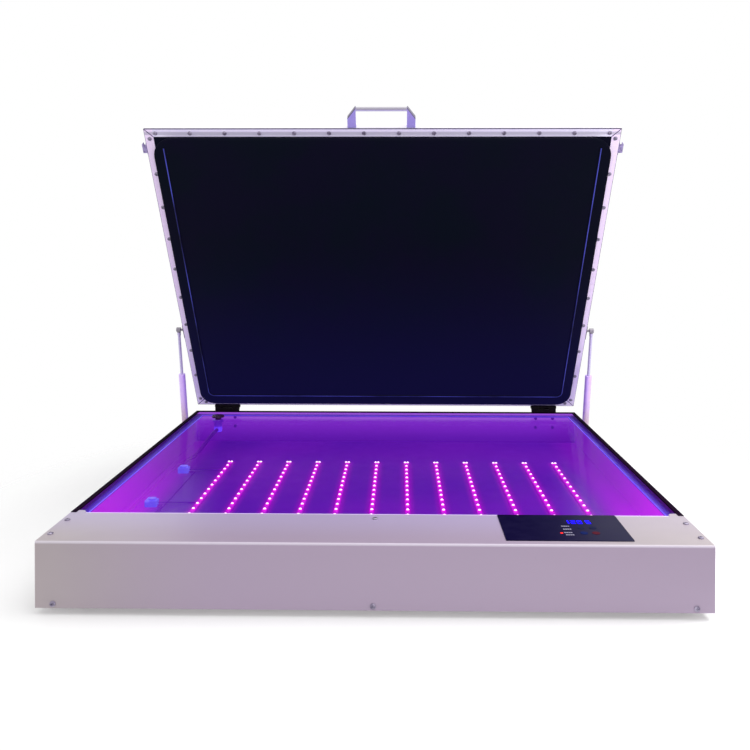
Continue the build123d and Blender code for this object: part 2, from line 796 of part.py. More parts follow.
key_names = ("key_start", "key_stop", "key_minus", "key_plus")
for key_name, (x, y) in zip(key_names, key_spots):
    with BuildPart() as key:
        with BuildSketch(Plane.XY.offset(wall_top)):
            with Locations((x, y)):
                Circle(key_radius)
        extrude(amount=panel_top + key_proud - wall_top)
        fillet(key.edges().group_by(Axis.Z)[-1], 0.35)
        with BuildSketch(Plane.XY.offset(wall_top)):
            with Locations((x, y)):
                Circle(key_stem_radius)
        extrude(amount=-(wall_top - board_top - switch_height - key_travel - 0.1))
    finish(key, key_name)

# ------------------------------------------------------------------ vacuum line
with BuildPart() as port_flange:
    with Locations((*port_spot, glass_top)):
        Cylinder(port_radius, port_height, align=(Align.CENTER, Align.CENTER, Align.MIN))
        Cylinder(port_hole - fit_gap, glass_thickness + 12.0, align=(Align.CENTER, Align.CENTER, Align.MAX))
    fillet(port_flange.edges().group_by(Axis.Z)[-1], 2.0)
    with Locations((*port_spot, glass_top + port_height)):
        Hole(port_bore, port_height + glass_thickness + 12.0)
finish(port_flange, "port_flange")

elbow_low = glass_bottom - elbow_drop
elbow_tip_y = port_spot[1] - elbow_length
with BuildPart() as port_elbow:
    with BuildSketch(Plane.XY.offset(glass_bottom - fit_gap)):
        with Locations(port_spot):
            RegularPolygon(nut_radius, 6)
            Circle(port_hole, mode=Mode.SUBTRACT)
    extrude(amount=-nut_height)
    with BuildSketch(Plane.XY.offset(glass_bottom - fit_gap - nut_height)):
        with Locations(port_spot):
            Circle(port_hole + 3.0)
            Circle(port_hole, mode=Mode.SUBTRACT)
    extrude(amount=-6.0)
    with BuildSketch(Plane.XY.offset(glass_bottom - 12.0 - 2 * fit_gap)):
        with Locations(port_spot):
            Circle(port_hole + 3.0)
    extrude(amount=-(elbow_drop - 12.0 + elbow_radius - 2 * fit_gap))
    with BuildSketch(Plane(origin=(port_spot[0], port_spot[1], elbow_low), z_dir=(0, -1, 0))):
        Circle(elbow_radius)
    extrude(amount=elbow_length - 8.0)
    with BuildSketch(Plane(origin=(port_spot[0], port_spot[1], elbow_low), z_dir=(0, -1, 0))):
        Circle(hose_bore - fit_gap / 2)
    extrude(amount=elbow_length + 8.0)
finish(port_elbow, "port_elbow")

hose_start = Vector(port_spot[0], elbow_tip_y + 7.5, elbow_low)
hose_lane = hose_lane_in - side_x
hose_low = deck_top + hose_radius + 1.5
hose_points = [
    hose_start,
    Vector(port_spot[0], hose_start.Y - 60.0, elbow_low),
    Vector(port_spot[0] - 22.0, hose_start.Y - 140.0, hose_low + 8.0),
    Vector(hose_lane, hose_start.Y - 240.0, hose_low),
    Vector(hose_lane + 1.0, front_y + 320.0, hose_low),
    Vector(hose_hole.X, front_y + 200.0, hose_low),
    Vector(hose_hole.X, pump_port.Y, hose_low),
]
vacuum_hose = tube_along(hose_points, [90.0, 130.0, 180.0, 150.0, 110.0], hose_radius, hose_bore)
vacuum_hose.label = "vacuum_hose"
export_step(vacuum_hose, "parts/vacuum_hose.step")

# ------------------------------------------------------------------ lid frame
half_lid = base_width / 2
row_end = strip_screw_inset + 15.0
row_pitch = 2 * (half_lid - row_end) / (strip_row_count - 1)
side_pitch = (lid_length - 2 * strip_side_end) / (strip_side_count - 1)
row_xs = spread(strip_row_count, row_pitch)
side_vs = [strip_side_end + i * side_pitch for i in range(strip_side_count)]
cross_rows = [(x, v) for v in (strip_screw_inset, lid_length - strip_screw_inset) for x in row_xs]
side_rows = [(s * (half_lid - strip_screw_inset), v) for s in sides for v in side_vs]
strip_spots = [Plane(origin=lid_point(x, v, 0), x_dir=(1, 0, 0), z_dir=lid_in)
               for x, v in cross_rows + side_rows]
screw_reach = strip_thickness + blanket_thickness + rail_wall + 1.0
leaf_screw_spots = [
    Plane(origin=lid_point(s * hinge_x + dx, -leaf_thickness, rail_face - row),
          x_dir=(1, 0, 0), z_dir=-lid_dir)
    for s in sides for dx in spread(2, bolt_spacing) for row in leaf_screw_rows
]
handle_screw_spots = [
    Plane(origin=lid_point(s * handle_screw_x, lid_length + handle_sheet,
                           -handle_depth - handle_sheet - handle_foot / 2),
          x_dir=(1, 0, 0), z_dir=lid_dir)
    for s in sides
]

# planes of the four mitred corners, each with its side rail on the positive side
mitre_planes = [
    Plane(origin=lid_point(s * half_lid, v, 0),
          z_dir=(lid_dir * turn + Vector(s, 0, 0)).normalized(), x_dir=lid_in)
    for s in sides for v, turn in ((0.0, 1), (lid_length, -1))
]
side_run = Plane(origin=lid_point(0, 0, rail_middle), x_dir=(1, 0, 0), z_dir=lid_dir)
cross_run = Plane(origin=lid_point(-half_lid, 0, rail_middle), x_dir=lid_dir, z_dir=(1, 0, 0))
rail_centre = half_lid - rail_size / 2
rails = {
    "lid_rail_left": (side_run, -rail_centre, lid_length, mitre_planes[:2], Keep.TOP),
    "lid_rail_right": (side_run, rail_centre, lid_length, mitre_planes[2:], Keep.TOP),
    "lid_rail_back": (cross_run, rail_size / 2, base_width, mitre_planes[::2], Keep.BOTTOM),
    "lid_rail_front": (cross_run, lid_length - rail_size / 2, base_width, mitre_planes[1::2], Keep.BOTTOM),
}
for rail_name, (run_plane, offset, run, cuts, kept) in rails.items():
    with BuildPart() as rail:
        with BuildSketch(run_plane):
            with Locations((offset, 0)):
                Rectangle(rail_size, rail_size)
                Rectangle(rail_size - 2 * rail_wall, rail_size - 2 * rail_wall, mode=Mode.SUBTRACT)
        extrude(amount=run)
        for cut in cuts:
            split(bisect_by=cut, keep=kept)
        with Locations(*strip_spots, *leaf_screw_spots, *handle_screw_spots):
            Cylinder(screw_radius + running_gap, 2 * (screw_reach + 0.5), mode=Mode.SUBTRACT)
    finish(rail, rail_name)

mitre_gap = 0.4
with BuildPart() as clamp_strips:
    with BuildSketch(lid_plane.offset(-strip_thickness)):
        for flip in sides:
            # one strip along the back or front edge, one along a side
            edge_v = 0.0 if flip < 0 else lid_length
            inner_v = edge_v - flip * strip_width
            far = half_lid - mitre_gap
            with BuildLine():
                Polyline((-far, edge_v), (far, edge_v), (far - strip_width, inner_v),
                         (strip_width - far, inner_v), close=True)
            make_face()
            with BuildLine():
                Polyline((flip * half_lid, mitre_gap), (flip * half_lid, lid_length - mitre_gap),
                         (flip * (half_lid - strip_width), lid_length - strip_width - mitre_gap),
                         (flip * (half_lid - strip_width), strip_width + mitre_gap), close=True)
            make_face()
    extrude(amount=strip_thickness)
    with Locations(*strip_spots):
        Cylinder(screw_radius + screw_gap, 3 * strip_thickness, mode=Mode.SUBTRACT)
finish(clamp_strips, "clamp_strips")

with BuildPart() as strip_screws:
    with Locations(*strip_spots):
        pan_screw(screw_reach)
finish(strip_screws, "strip_screws")

# ------------------------------------------------------------------ rubber blanket
crown_v_middle = lid_length / 2
crown_half = half_lid - strip_width - crown_inset
crown_half_v = lid_length / 2 - strip_width - crown_inset


def crown_section(depth, inset):
    """Rounded outline of the raised middle at one depth, drawn in by inset."""
    with BuildSketch(lid_plane.offset(depth)) as section:
        with Locations((0, crown_v_middle)):
            Rectangle(2 * (crown_half - inset), 2 * (crown_half_v - inset))
        fillet(section.vertices().group_by(Axis.Y)[0], crown_low_radius - inset)
        fillet(section.vertices().group_by(Axis.Y)[-1], crown_high_radius - inset)
    return section.sketch


with BuildPart() as blanket:
    with BuildSketch(lid_plane.offset(rail_face)):
        with Locations((0, lid_length / 2)):
            Rectangle(2 * (half_lid - blanket_margin), lid_length - 2 * blanket_margin)
    extrude(amount=blanket_thickness)
    loft([crown_section(-strip_thickness, 0.0), crown_section(crown_height, crown_draft)])
    loft([crown_section(rail_face, blanket_thickness),
          crown_section(crown_height - blanket_thickness, blanket_thickness + crown_draft)],
         mode=Mode.SUBTRACT)
    with Locations(*strip_spots):
        Cylinder(screw_radius + screw_gap, 2 * (screw_reach + 0.5), mode=Mode.SUBTRACT)
finish(blanket, "blanket")

bead_x = half_lid - bead_inset
with BuildPart() as seal_bead:
    with BuildLine(lid_plane.offset(crown_height)) as bead_route:
        FilletPolyline((-bead_x, bead_high), (-bead_x, bead_low), (bead_x, bead_low), (bead_x, bead_high),
                       radius=bead_corner)
    with BuildSketch(Plane(origin=lid_point(-bead_x, bead_high, crown_height), x_dir=(1, 0, 0),
                           z_dir=-lid_dir)):
        # a low bead with a flat foot on the rubber; its local y points away from the sheet
        with Locations((0, 0)):
            RectangleRounded(bead_width, 2 * bead_height, bead_width / 2 - 0.1)
        Rectangle(2 * bead_width, 2 * bead_height, align=(Align.CENTER, Align.MAX), mode=Mode.SUBTRACT)
    sweep(path=bead_route.line)
finish(seal_bead, "seal_bead")

# ------------------------------------------------------------------ handle at the free edge
handle_half = handle_width / 2
handle_top = lid_length + handle_height
handle_plane = lid_plane.offset(-handle_depth - handle_sheet)
corner_run = hypot(handle_corner_x, handle_corner_v)
with BuildPart() as handle:
    with BuildSketch(handle_plane):
        with BuildLine():
            Polyline(
                (-handle_half, lid_length), (-handle_half, handle_top - handle_corner_v),
                (-handle_half + handle_corner_x, handle_top),
                (handle_half - handle_corner_x, handle_top),
                (handle_half, handle_top - handle_corner_v), (handle_half, lid_length),
                close=True,
            )
        make_face()
        with Locations((0, lid_length)):
            Rectangle(handle_width - 2 * handle_leg, handle_height - handle_bar,
                      align=(Align.CENTER, Align.MIN), mode=Mode.SUBTRACT)
    extrude(amount=handle_sheet)
    # folded edge along the top and along both cut corners, away from the glass
    with BuildSketch(handle_plane):
        with Locations((0, handle_top)):
            Rectangle(handle_width - 2 * handle_corner_x, handle_sheet, align=(Align.CENTER, Align.MAX))
    extrude(amount=-(handle_lip - handle_sheet))
    with BuildSketch(handle_plane):
        for s in sides:
            with Locations((s * (handle_half - handle_corner_x / 2), handle_top - handle_corner_v / 2)):
                tilt = degrees(atan2(-s * handle_corner_v, handle_corner_x))
                Rectangle(corner_run, handle_sheet, rotation=tilt, align=(Align.CENTER, Align.MAX))
    extrude(amount=-(handle_wing - handle_sheet))
    # feet of both legs lie on the front rail
    with BuildSketch(handle_plane.offset(handle_sheet)):
        for s in sides:
            with Locations((s * (handle_half - handle_leg / 2), lid_length)):
                Rectangle(handle_leg, handle_sheet, align=(Align.CENTER, Align.MIN))
    extrude(amount=-handle_foot)
    with Locations(*handle_screw_spots):
        Cylinder(screw_radius + screw_gap, 4 * handle_sheet, mode=Mode.SUBTRACT)
finish(handle, "handle")

# ------------------------------------------------------------------ hinges
half_hinge = hinge_width / 2
leaf_side = Plane(origin=(0, back_y, top_z), x_dir=(0, 1, 0), z_dir=(1, 0, 0))
pin_bore = pin_radius + running_gap
middle_cut = hinge_rise - knuckle_radius - 0.2

with BuildPart() as hinge_base_leaves:
    for s in sides:
        with BuildSketch(leaf_side.offset(s * hinge_x - half_hinge)):
            with BuildLine():
                Polyline(
                    (0, -leaf_drop), (leaf_thickness, -leaf_drop), (leaf_thickness, -2.0),
                    (hinge_back + 2.0, hinge_rise - knuckle_radius), (hinge_back, hinge_rise),
                    (hinge_back - knuckle_radius, hinge_rise), (0, hinge_rise - 3.5),
                    close=True,
                )
            make_face()
            with Locations((hinge_back, hinge_rise)):
                Circle(knuckle_radius)
        extrude(amount=hinge_width)
        # the middle is left free for the lid's knuckle
        with Locations((s * hinge_x, back_y, top_z + middle_cut)):
            Box(middle_knuckle + 2 * knuckle_gap, 60.0, 60.0,
                align=(Align.CENTER, Align.CENTER, Align.MIN), mode=Mode.SUBTRACT)
    with Locations(Plane(origin=hinge_axis, z_dir=(1, 0, 0))):
        Cylinder(pin_bore, base_width, mode=Mode.SUBTRACT)
    with Locations(*upper_bolts, *lower_bolts):
        Hole(bolt_radius + screw_gap, 12.0)
finish(hinge_base_leaves, "hinge_base_leaves")

with BuildPart() as hinge_bolts:
    for spots, grip in ((upper_bolts, leaf_thickness + 2 * sheet), (lower_bolts, leaf_thickness + sheet)):
        with Locations(*spots):
            pan_screw(grip + nut_thickness + 1.5, shank=bolt_radius)
        with BuildSketch(*[spot.offset(-grip) for spot in spots]):
            RegularPolygon(nut_flat, 6, major_radius=False)
        extrude(amount=-nut_thickness)
finish(hinge_bolts, "hinge_bolts")

with BuildPart() as hinge_pins:
    for s in sides:
        with Locations(Plane(origin=hinge_axis + Vector(s * hinge_x, 0, 0), z_dir=(1, 0, 0))):
            Cylinder(pin_radius, hinge_width + 1.0)
            with Locations((0, 0, half_hinge + 0.3), (0, 0, -half_hinge - 1.8)):
                Cylinder(pin_radius + 1.0, 1.5, align=(Align.CENTER, Align.CENTER, Align.MIN))
finish(hinge_pins, "hinge_pins")

with BuildPart() as hinge_lid_leaves:
    for s in sides:
        for half_run, top_depth in ((half_hinge, rail_face), (middle_knuckle / 2, hinge_depth)):
            with BuildSketch(Plane(origin=lid_point(s * hinge_x - half_run, 0, 0),
                                   x_dir=lid_dir, z_dir=(1, 0, 0))):
                with BuildLine():
                    Polyline((-leaf_thickness, rail_back), (0, rail_back), (0, top_depth),
                             (-leaf_thickness, top_depth), close=True)
                make_face()
            extrude(amount=2 * half_run)
        with Locations(Plane(origin=hinge_axis + Vector(s * hinge_x, 0, 0), z_dir=(1, 0, 0))):
            Cylinder(knuckle_radius, middle_knuckle)
    with Locations(Plane(origin=hinge_axis, z_dir=(1, 0, 0))):
        Cylinder(pin_bore, base_width, mode=Mode.SUBTRACT)
    with Locations(*leaf_screw_spots):
        Hole(screw_radius + screw_gap, 8.0)
finish(hinge_lid_leaves, "hinge_lid_leaves")

with BuildPart() as lid_fasteners:
    with Locations(*leaf_screw_spots):
        pan_screw(leaf_thickness + rail_wall + 1.0)
    with Locations(*handle_screw_spots):
        pan_screw(handle_sheet + rail_wall + 1.0)
finish(lid_fasteners, "lid_fasteners")

with BuildPart() as bracket_screws:
    with Locations(*bracket_screw_spots):
        pan_screw(bracket_thickness + sheet + screw_end)
    with Locations(*latch_screw_spots):
        pan_screw(2 * sheet + screw_end)
finish(bracket_screws, "bracket_screws")

# ------------------------------------------------------------------ gas springs
spring_head = lid_point(0, spring_lid_reach, -spring_lid_depth)
spring_run = (spring_head - spring_foot).length
spring_dir = (spring_head - spring_foot).normalized()
cylinder_end = spring_run - rod_exposed
rod_start = cylinder_end - cylinder_cap - rod_inside
bore_radius = cylinder_radius - cylinder_wall
piston_gap = 0.1
round_ends = (Align.CENTER, Align.CENTER, Align.MIN)


def spring_plane(s, along):
    """Across the spring at one distance from its lower stud, facing its upper end."""
    return Plane(origin=spring_foot + spring_dir * along + Vector(s * spring_x, 0, 0),
                 x_dir=(1, 0, 0), z_dir=spring_dir)


def stud_plane(s, centre, x=spring_x):
    """At a stud, facing away from the machine."""
    return Plane(origin=centre + Vector(s * x, 0, 0), x_dir=(0, 1, 0), z_dir=(s, 0, 0))


def ball_stud(s, centre, seat):
    """A ball on a neck with a hexagonal foot that stands at x = seat."""
    with Locations(stud_plane(s, centre)):
        Sphere(stud_ball)
        Cylinder(stud_radius, spring_x - seat, align=(Align.CENTER, Align.CENTER, Align.MAX))


def socket_cuts(s, centre):
    with Locations(stud_plane(s, centre)):
        Sphere(stud_ball + running_gap, mode=Mode.SUBTRACT)
        Cylinder(stud_radius + fit_gap, 2 * socket_half, mode=Mode.SUBTRACT,
                 align=(Align.CENTER, Align.CENTER, Align.MAX))


for s, side_name in zip(sides, ("left", "right")):
    with BuildPart() as spring_cylinder:
        with Locations(spring_plane(s, foot_end)):
            Cylinder(cylinder_radius, cylinder_end - foot_end, align=round_ends)
        fillet(spring_cylinder.edges().filter_by(GeomType.CIRCLE), 1.0)
        with Locations(spring_plane(s, 0)):
            Cylinder(neck_radius, foot_end + 0.5, align=round_ends)
        with Locations(stud_plane(s, spring_foot)):
            Cylinder(socket_radius, 2 * socket_half)
        bore_start = foot_end + cylinder_foot
        with Locations(spring_plane(s, bore_start)):
            Cylinder(bore_radius, cylinder_end - cylinder_cap - bore_start, align=round_ends,
                     mode=Mode.SUBTRACT)
            Cylinder(rod_radius + running_gap, cylinder_end - bore_start + 1.0, align=round_ends,
                     mode=Mode.SUBTRACT)
        socket_cuts(s, spring_foot)
    finish(spring_cylinder, f"spring_cylinder_{side_name}")

    with BuildPart() as spring_rod:
        with Locations(spring_plane(s, rod_start)):
            Cylinder(rod_radius, spring_run - rod_start, align=round_ends)
            Cylinder(bore_radius - piston_gap, piston_length, align=round_ends)
        with Locations(spring_plane(s, spring_run - socket_neck)):
            Cylinder(neck_radius, socket_neck, align=round_ends)
        with Locations(stud_plane(s, spring_head)):
            Cylinder(socket_radius, 2 * socket_half)
        socket_cuts(s, spring_head)
    finish(spring_rod, f"spring_rod_{side_name}")

    stud_seat = side_x + bracket_thickness + lid_stud_gap
    with BuildPart() as spring_stud:
        ball_stud(s, spring_head, stud_seat)
        with BuildSketch(stud_plane(s, spring_head, stud_seat)):
            RegularPolygon(stud_hex, 6)
        extrude(amount=stud_hex_length)
    finish(spring_stud, f"spring_stud_{side_name}")

with BuildPart() as spring_base_brackets:
    for s in sides:
        bracket_plane = Plane(origin=(s * side_x, spring_foot.Y, spring_foot.Z), x_dir=(0, 1, 0),
                              z_dir=(s, 0, 0))
        with BuildSketch(bracket_plane):
            RectangleRounded(bracket_width, bracket_length, 4.0)
        extrude(amount=bracket_thickness)
        with BuildSketch(bracket_plane.offset(bracket_thickness)):
            RegularPolygon(stud_hex, 6)
        extrude(amount=stud_hex_length)
        ball_stud(s, spring_foot, side_x + sheet)
    with Locations(*bracket_screw_spots):
        Hole(screw_radius + screw_gap, 8.0)
finish(spring_base_brackets, "spring_base_brackets")

with BuildPart() as spring_lid_brackets:
    for s in sides:
        with BuildSketch(Plane(origin=lid_point(s * half_lid, spring_lid_reach, -spring_lid_depth),
                               x_dir=lid_dir, z_dir=(s, 0, 0))):
            RectangleRounded(bracket_length, bracket_width, 4.0)
        extrude(amount=bracket_thickness)
finish(spring_lid_brackets, "spring_lid_brackets")

# ------------------------------------------------------------------ latches
with BuildPart() as latch_keepers:
    for s in sides:
        # a hook seen along the rail: web outwards, lip away from the glass
        with BuildSketch(Plane(origin=lid_point(s * half_lid, latch_reach - keeper_width / 2, 0),
                               x_dir=(1, 0, 0), z_dir=lid_dir)):
            with BuildLine():
                Polyline(
                    (0, keeper_low), (s * keeper_out, keeper_low),
                    (s * keeper_out, keeper_low + keeper_lip),
                    (s * (keeper_out - keeper_sheet), keeper_low + keeper_lip),
                    (s * (keeper_out - keeper_sheet), keeper_low + keeper_sheet),
                    (0, keeper_low + keeper_sheet), close=True,
                )
            make_face()
        extrude(amount=keeper_width)
        # its plate on the side of the tube, with two rivet heads
        plate_middle = -keeper_low - keeper_plate / 2
        plate_plane = Plane(origin=lid_point(s * half_lid, latch_reach, plate_middle),
                            x_dir=lid_dir, z_dir=(s, 0, 0))
        with BuildSketch(plate_plane):
            Rectangle(keeper_plate_width, keeper_plate)
        extrude(amount=keeper_sheet)
        rivet_spots = [
            Plane(origin=lid_point(s * (half_lid + keeper_sheet), latch_reach + dv,
                                   -keeper_low - keeper_plate + 4.0), z_dir=(s, 0, 0))
            for dv in spread(2, keeper_plate_width - 12.0)
        ]
        with Locations(*rivet_spots):
            Cylinder(rivet_radius, rivet_height, align=round_ends)
finish(latch_keepers, "latch_keepers")

pin_x = side_x + latch_pin_out
pin_z = top_z - latch_pin_drop


def latch_profile(s, offset):
    """Across the machine at one distance from the latch's middle, local x outwards, y up."""
    turn = (0, -s, 0)
    return Plane(origin=(s * pin_x, latch_y + offset, pin_z), x_dir=(s, 0, 0), z_dir=turn)


def pin_hole(s, radius, x=0.0, y=0.0):
    with Locations(Plane(origin=(s * (pin_x + x), latch_y, pin_z + y), z_dir=(0, 1, 0))):
        Cylinder(radius, 4 * lever_width, mode=Mode.SUBTRACT)


with BuildPart() as latch_plates:
    for s in sides:
        with Locations((s * side_x, latch_y, top_z - latch_plate_top)):
            Box(sheet, lever_width, latch_plate_height,
                align=(Align.MIN if s > 0 else Align.MAX, Align.CENTER, Align.MAX))
        ear_foot = sheet - latch_pin_out
        for ear_y in (-latch_ear_half, latch_ear_half - sheet):
            start = ear_y if s < 0 else ear_y + sheet
            with BuildSketch(latch_profile(s, start)):
                with BuildLine():
                    Polyline((ear_foot, latch_ear_round + 2.0), (0, latch_ear_round),
                             (0, -latch_ear_round), (ear_foot, -latch_ear_round - 4.0), close=True)
                make_face()
                Circle(latch_ear_round)
            extrude(amount=sheet)
        pin_hole(s, latch_pin_radius + running_gap)
    with Locations(*latch_screw_spots):
        Hole(screw_radius + screw_gap, 8.0)
finish(latch_plates, "latch_plates")

with BuildPart() as latch_pins:
    for s in sides:
        with Locations(Plane(origin=(s * pin_x, latch_y, pin_z), z_dir=(0, 1, 0))):
            Cylinder(latch_pin_radius, 2 * latch_pin_half)
finish(latch_pins, "latch_pins")

plate_inner = lever_face - lever_sheet
bail_hole_x = -bail_in
for s, side_name in zip(sides, ("left", "right")):
    half_lever = lever_width / 2
    with BuildPart() as latch_lever:
        for flange_y in (-half_lever, half_lever - lever_sheet):
            start = flange_y if s < 0 else flange_y + lever_sheet
            with BuildSketch(latch_profile(s, start)):
                with BuildLine():
                    Polyline(
                        (lever_face, 0), (lever_face, -lever_length + lever_lip),
                        (plate_inner - 2.0, -lever_length + lever_lip), (-lever_face, -14.0),
                        (-lever_round, 0), close=True,
                    )
                make_face()
                Circle(lever_round)
                with BuildLine():
                    Polyline((0, lever_round), (0, 0), (lever_face, 0), (lever_face, 2.0), close=True)
                make_face()
            extrude(amount=lever_sheet)
        # outer plate with its finger lip at the lower end
        start = -half_lever if s < 0 else half_lever
        with BuildSketch(latch_profile(s, start)):
            lip_end = -lever_length - 1.0
            with BuildLine():
                Polyline(
                    (plate_inner, -lever_plate_start), (lever_face, -lever_plate_start),
                    (lever_face, lip_end + lever_lip), (lever_face + lever_lip, lip_end),
                    (lever_face + lever_lip - lever_sheet, lip_end - lever_sheet + 0.4),
                    (plate_inner, lip_end + lever_lip - 0.6), close=True,
                )
            make_face()
        extrude(amount=lever_width)
        pin_hole(s, latch_pin_radius + running_gap)
        pin_hole(s, bail_wire + bail_gap, bail_hole_x, -bail_drop)
    finish(latch_lever, f"latch_lever_{side_name}")

    bail_x = s * (pin_x + bail_hole_x)
    bail_z = pin_z - bail_drop
    bail_points = [
        (bail_x, latch_y - bail_hook_in, bail_z), (bail_x, latch_y - bail_half_width, bail_z),
        (bail_x, latch_y - bail_half_width, bail_z - bail_length),
        (bail_x, latch_y + bail_half_width, bail_z - bail_length),
        (bail_x, latch_y + bail_half_width, bail_z), (bail_x, latch_y + bail_hook_in, bail_z),
    ]
    bail_radii = [bail_end_corner, bail_corner, bail_corner, bail_end_corner]
    latch_bail = tube_along(bail_points, bail_radii, bail_wire)
    latch_bail.label = f"latch_bail_{side_name}"
    export_step(latch_bail, f"parts/latch_bail_{side_name}.step")
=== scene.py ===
from math import cos, radians, sin

import bpy
import numpy as np
from mathutils import Matrix, Vector


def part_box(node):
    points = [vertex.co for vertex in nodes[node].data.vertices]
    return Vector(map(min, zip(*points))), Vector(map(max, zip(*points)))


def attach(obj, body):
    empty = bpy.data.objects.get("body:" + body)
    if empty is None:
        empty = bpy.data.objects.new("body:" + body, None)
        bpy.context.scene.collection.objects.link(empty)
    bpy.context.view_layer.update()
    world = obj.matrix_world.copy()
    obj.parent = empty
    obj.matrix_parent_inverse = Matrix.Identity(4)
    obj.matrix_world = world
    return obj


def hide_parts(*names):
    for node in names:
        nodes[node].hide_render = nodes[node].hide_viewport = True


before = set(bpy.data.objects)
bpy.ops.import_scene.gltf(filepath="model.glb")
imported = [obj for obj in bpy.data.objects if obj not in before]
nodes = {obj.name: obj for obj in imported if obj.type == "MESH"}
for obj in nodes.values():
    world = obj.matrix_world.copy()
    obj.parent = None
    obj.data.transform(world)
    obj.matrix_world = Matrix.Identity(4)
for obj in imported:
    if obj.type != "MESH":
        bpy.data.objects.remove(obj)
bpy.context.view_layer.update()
print("frame loaded:", len(nodes), "pieces")

# every length below is in metres
lid = {"openDegrees": 56.4, "hingeY": 0.518, "hingeZ": 0.1345, "edgeBehind": 0.0013, "edgeOutside": 0.0065,
       "length": 0.882, "half": 0.550}
lidOpen = radians(lid["openDegrees"])
lidAlong = np.array([0.0, -cos(lidOpen), sin(lidOpen)])
lidInward = np.array([0.0, -sin(lidOpen), -cos(lidOpen)])
lidHinge = np.array([0.0, lid["hingeY"], lid["hingeZ"]])
lidEdge = lidHinge - lidAlong * lid["edgeBehind"] - lidInward * lid["edgeOutside"]

# rows of diodes: bars side by side across, chips one behind the other along
bars = {"count": 12, "pitch": 0.0763, "shift": 0.022, "rows": 19, "chipPitch": 0.0333,
        "lastIn": 0.008, "pairSpread": 0.007}
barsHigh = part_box("led_bars")[1]


def onLid(x, along, depth):
    # a point of the open lid: x across, along from its hinge edge, depth towards the glass
    x, along, depth = np.broadcast_arrays(x, along, depth)
    spot = lidEdge + along[..., None] * lidAlong + depth[..., None] * lidInward
    spot[..., 0] = x
    return spot


def tone(red, green, blue):
    # a colour as a screen shows it, 0 to 255, made linear
    c = np.array([red, green, blue]) / 255
    c = np.where(c <= 0.04045, c / 12.92, ((c + 0.055) / 1.055) ** 2.4)
    return (*c.tolist(), 1.0)


class Wire:
    # one shader value, so that ordinary sums add Math nodes
    def __init__(self, paint, socket):
        self.paint, self.socket = paint, socket

    def sum(self, operation, *others):
        return self.paint.node("ShaderNodeMath", {"operation": operation}, self, *others)

    def __add__(self, other):
        return self.sum("ADD", other)

    def __mul__(self, other):
        return self.sum("MULTIPLY", other)

    def __sub__(self, other):
        return self.sum("SUBTRACT", other)

    def __truediv__(self, other):
        return self.sum("DIVIDE", other)

    def __pow__(self, other):
        return self.sum("POWER", other)

    def __gt__(self, other):
        return self.sum("GREATER_THAN", other)

    def __lt__(self, other):
        return self.sum("LESS_THAN", other)

    def __rsub__(self, other):
        return self.paint.node("ShaderNodeMath", {"operation": "SUBTRACT"}, other, self)

    def fraction(self):
        # what is left after the whole number, as a row of equal steps needs
        return self.sum("FRACT")

    def __abs__(self):
        return self.sum("ABSOLUTE")

    __radd__, __rmul__ = __add__, __mul__

    def clamp(self):
        return self.paint.node("ShaderNodeClamp", {}, self)

    def rise(self, start, end):
        # 0 before start, 1 after end, smooth between
        return self.paint.node("ShaderNodeMapRange", {"interpolation_type": "SMOOTHSTEP"},
                               self, start, end)


class Paint:
    # one material on a Principled shader, with its pattern on object coordinates
    def __init__(self, name, **constants):
        self.material = bpy.data.materials.new(name)
        self.material.use_nodes = True
        self.tree = self.material.node_tree
        self.shader = self.tree.nodes["Principled BSDF"]
        self.place = self.node("ShaderNodeTexCoord", {}, out="Object")
        split = self.node("ShaderNodeSeparateXYZ", {}, self.place)
        self.x, self.y, self.z = (Wire(self, split.socket.node.outputs[i]) for i in range(3))
        self.set(**constants)

    def node(self, kind, settings, *inputs, out=0, **named):
        made = self.tree.nodes.new(kind)
        for key, value in settings.items():
            setattr(made, key, value)
        for at, value in [*enumerate(inputs), *named.items()]:
            self.feed(made.inputs[at], value)
        return Wire(self, made.outputs[out])

    def feed(self, socket, value):
        if isinstance(value, Wire):
            self.tree.links.new(value.socket, socket)
        else:
            socket.default_value = value

    def set(self, **inputs):
        for label, value in inputs.items():
            words = "".join(" " + c if c.isupper() else c for c in label).title().strip()
            self.feed(self.shader.inputs[words.replace("Ior", "IOR")], value)
        return self

    def noise(self, scale, detail=3.0, rough=0.55, stretch=(1, 1, 1)):
        where = self.node("ShaderNodeMapping", {}, self.place, Scale=stretch)
        return self.node("ShaderNodeTexNoise", {}, where, Scale=scale, Detail=detail, Roughness=rough)

    def mix(self, share, first, second):
        made = self.tree.nodes.new("ShaderNodeMix")
        made.data_type = "RGBA"
        for at, value in ((0, share), (6, first), (7, second)):
            self.feed(made.inputs[at], value)
        return Wire(self, made.outputs[2])

    def bump(self, height, distance, strength):
        return self.set(normal=self.node("ShaderNodeBump", {}, Strength=strength, Distance=distance,
                                         Height=height))


def powderCoat(name, colour, shade):
    # baked paint: orange peel, soft mottling and a little dust
    paint = Paint(name, coatWeight=0.12, coatRoughness=0.25)
    mottle = paint.noise(3.2, 4.0)
    dust = paint.noise(60.0, 5.0, 0.7).rise(0.60, 0.82)
    colourMix = paint.mix(mottle.rise(0.3, 0.7), colour, shade)
    paint.set(baseColor=paint.mix(dust * 0.16, colourMix, tone(150, 142, 150)))
    paint.set(roughness=paint.noise(24.0, 2.0) * 0.14 + 0.35)
    return paint.bump(paint.noise(900.0, 2.0), 0.00006, 0.35)


def metal(name, colour, shade, rough=0.26, scratch=(1, 1, 40), shine=1.0):
    # plated or drawn metal with fine lines along one direction
    paint = Paint(name, metallic=shine)
    lines = paint.noise(140.0, 3.0, 0.6, scratch)
    paint.set(baseColor=paint.mix(lines.rise(0.35, 0.7), colour, shade))
    paint.set(roughness=lines * 0.22 + (rough - 0.11))
    return paint.bump(lines, 0.00004, 0.3)


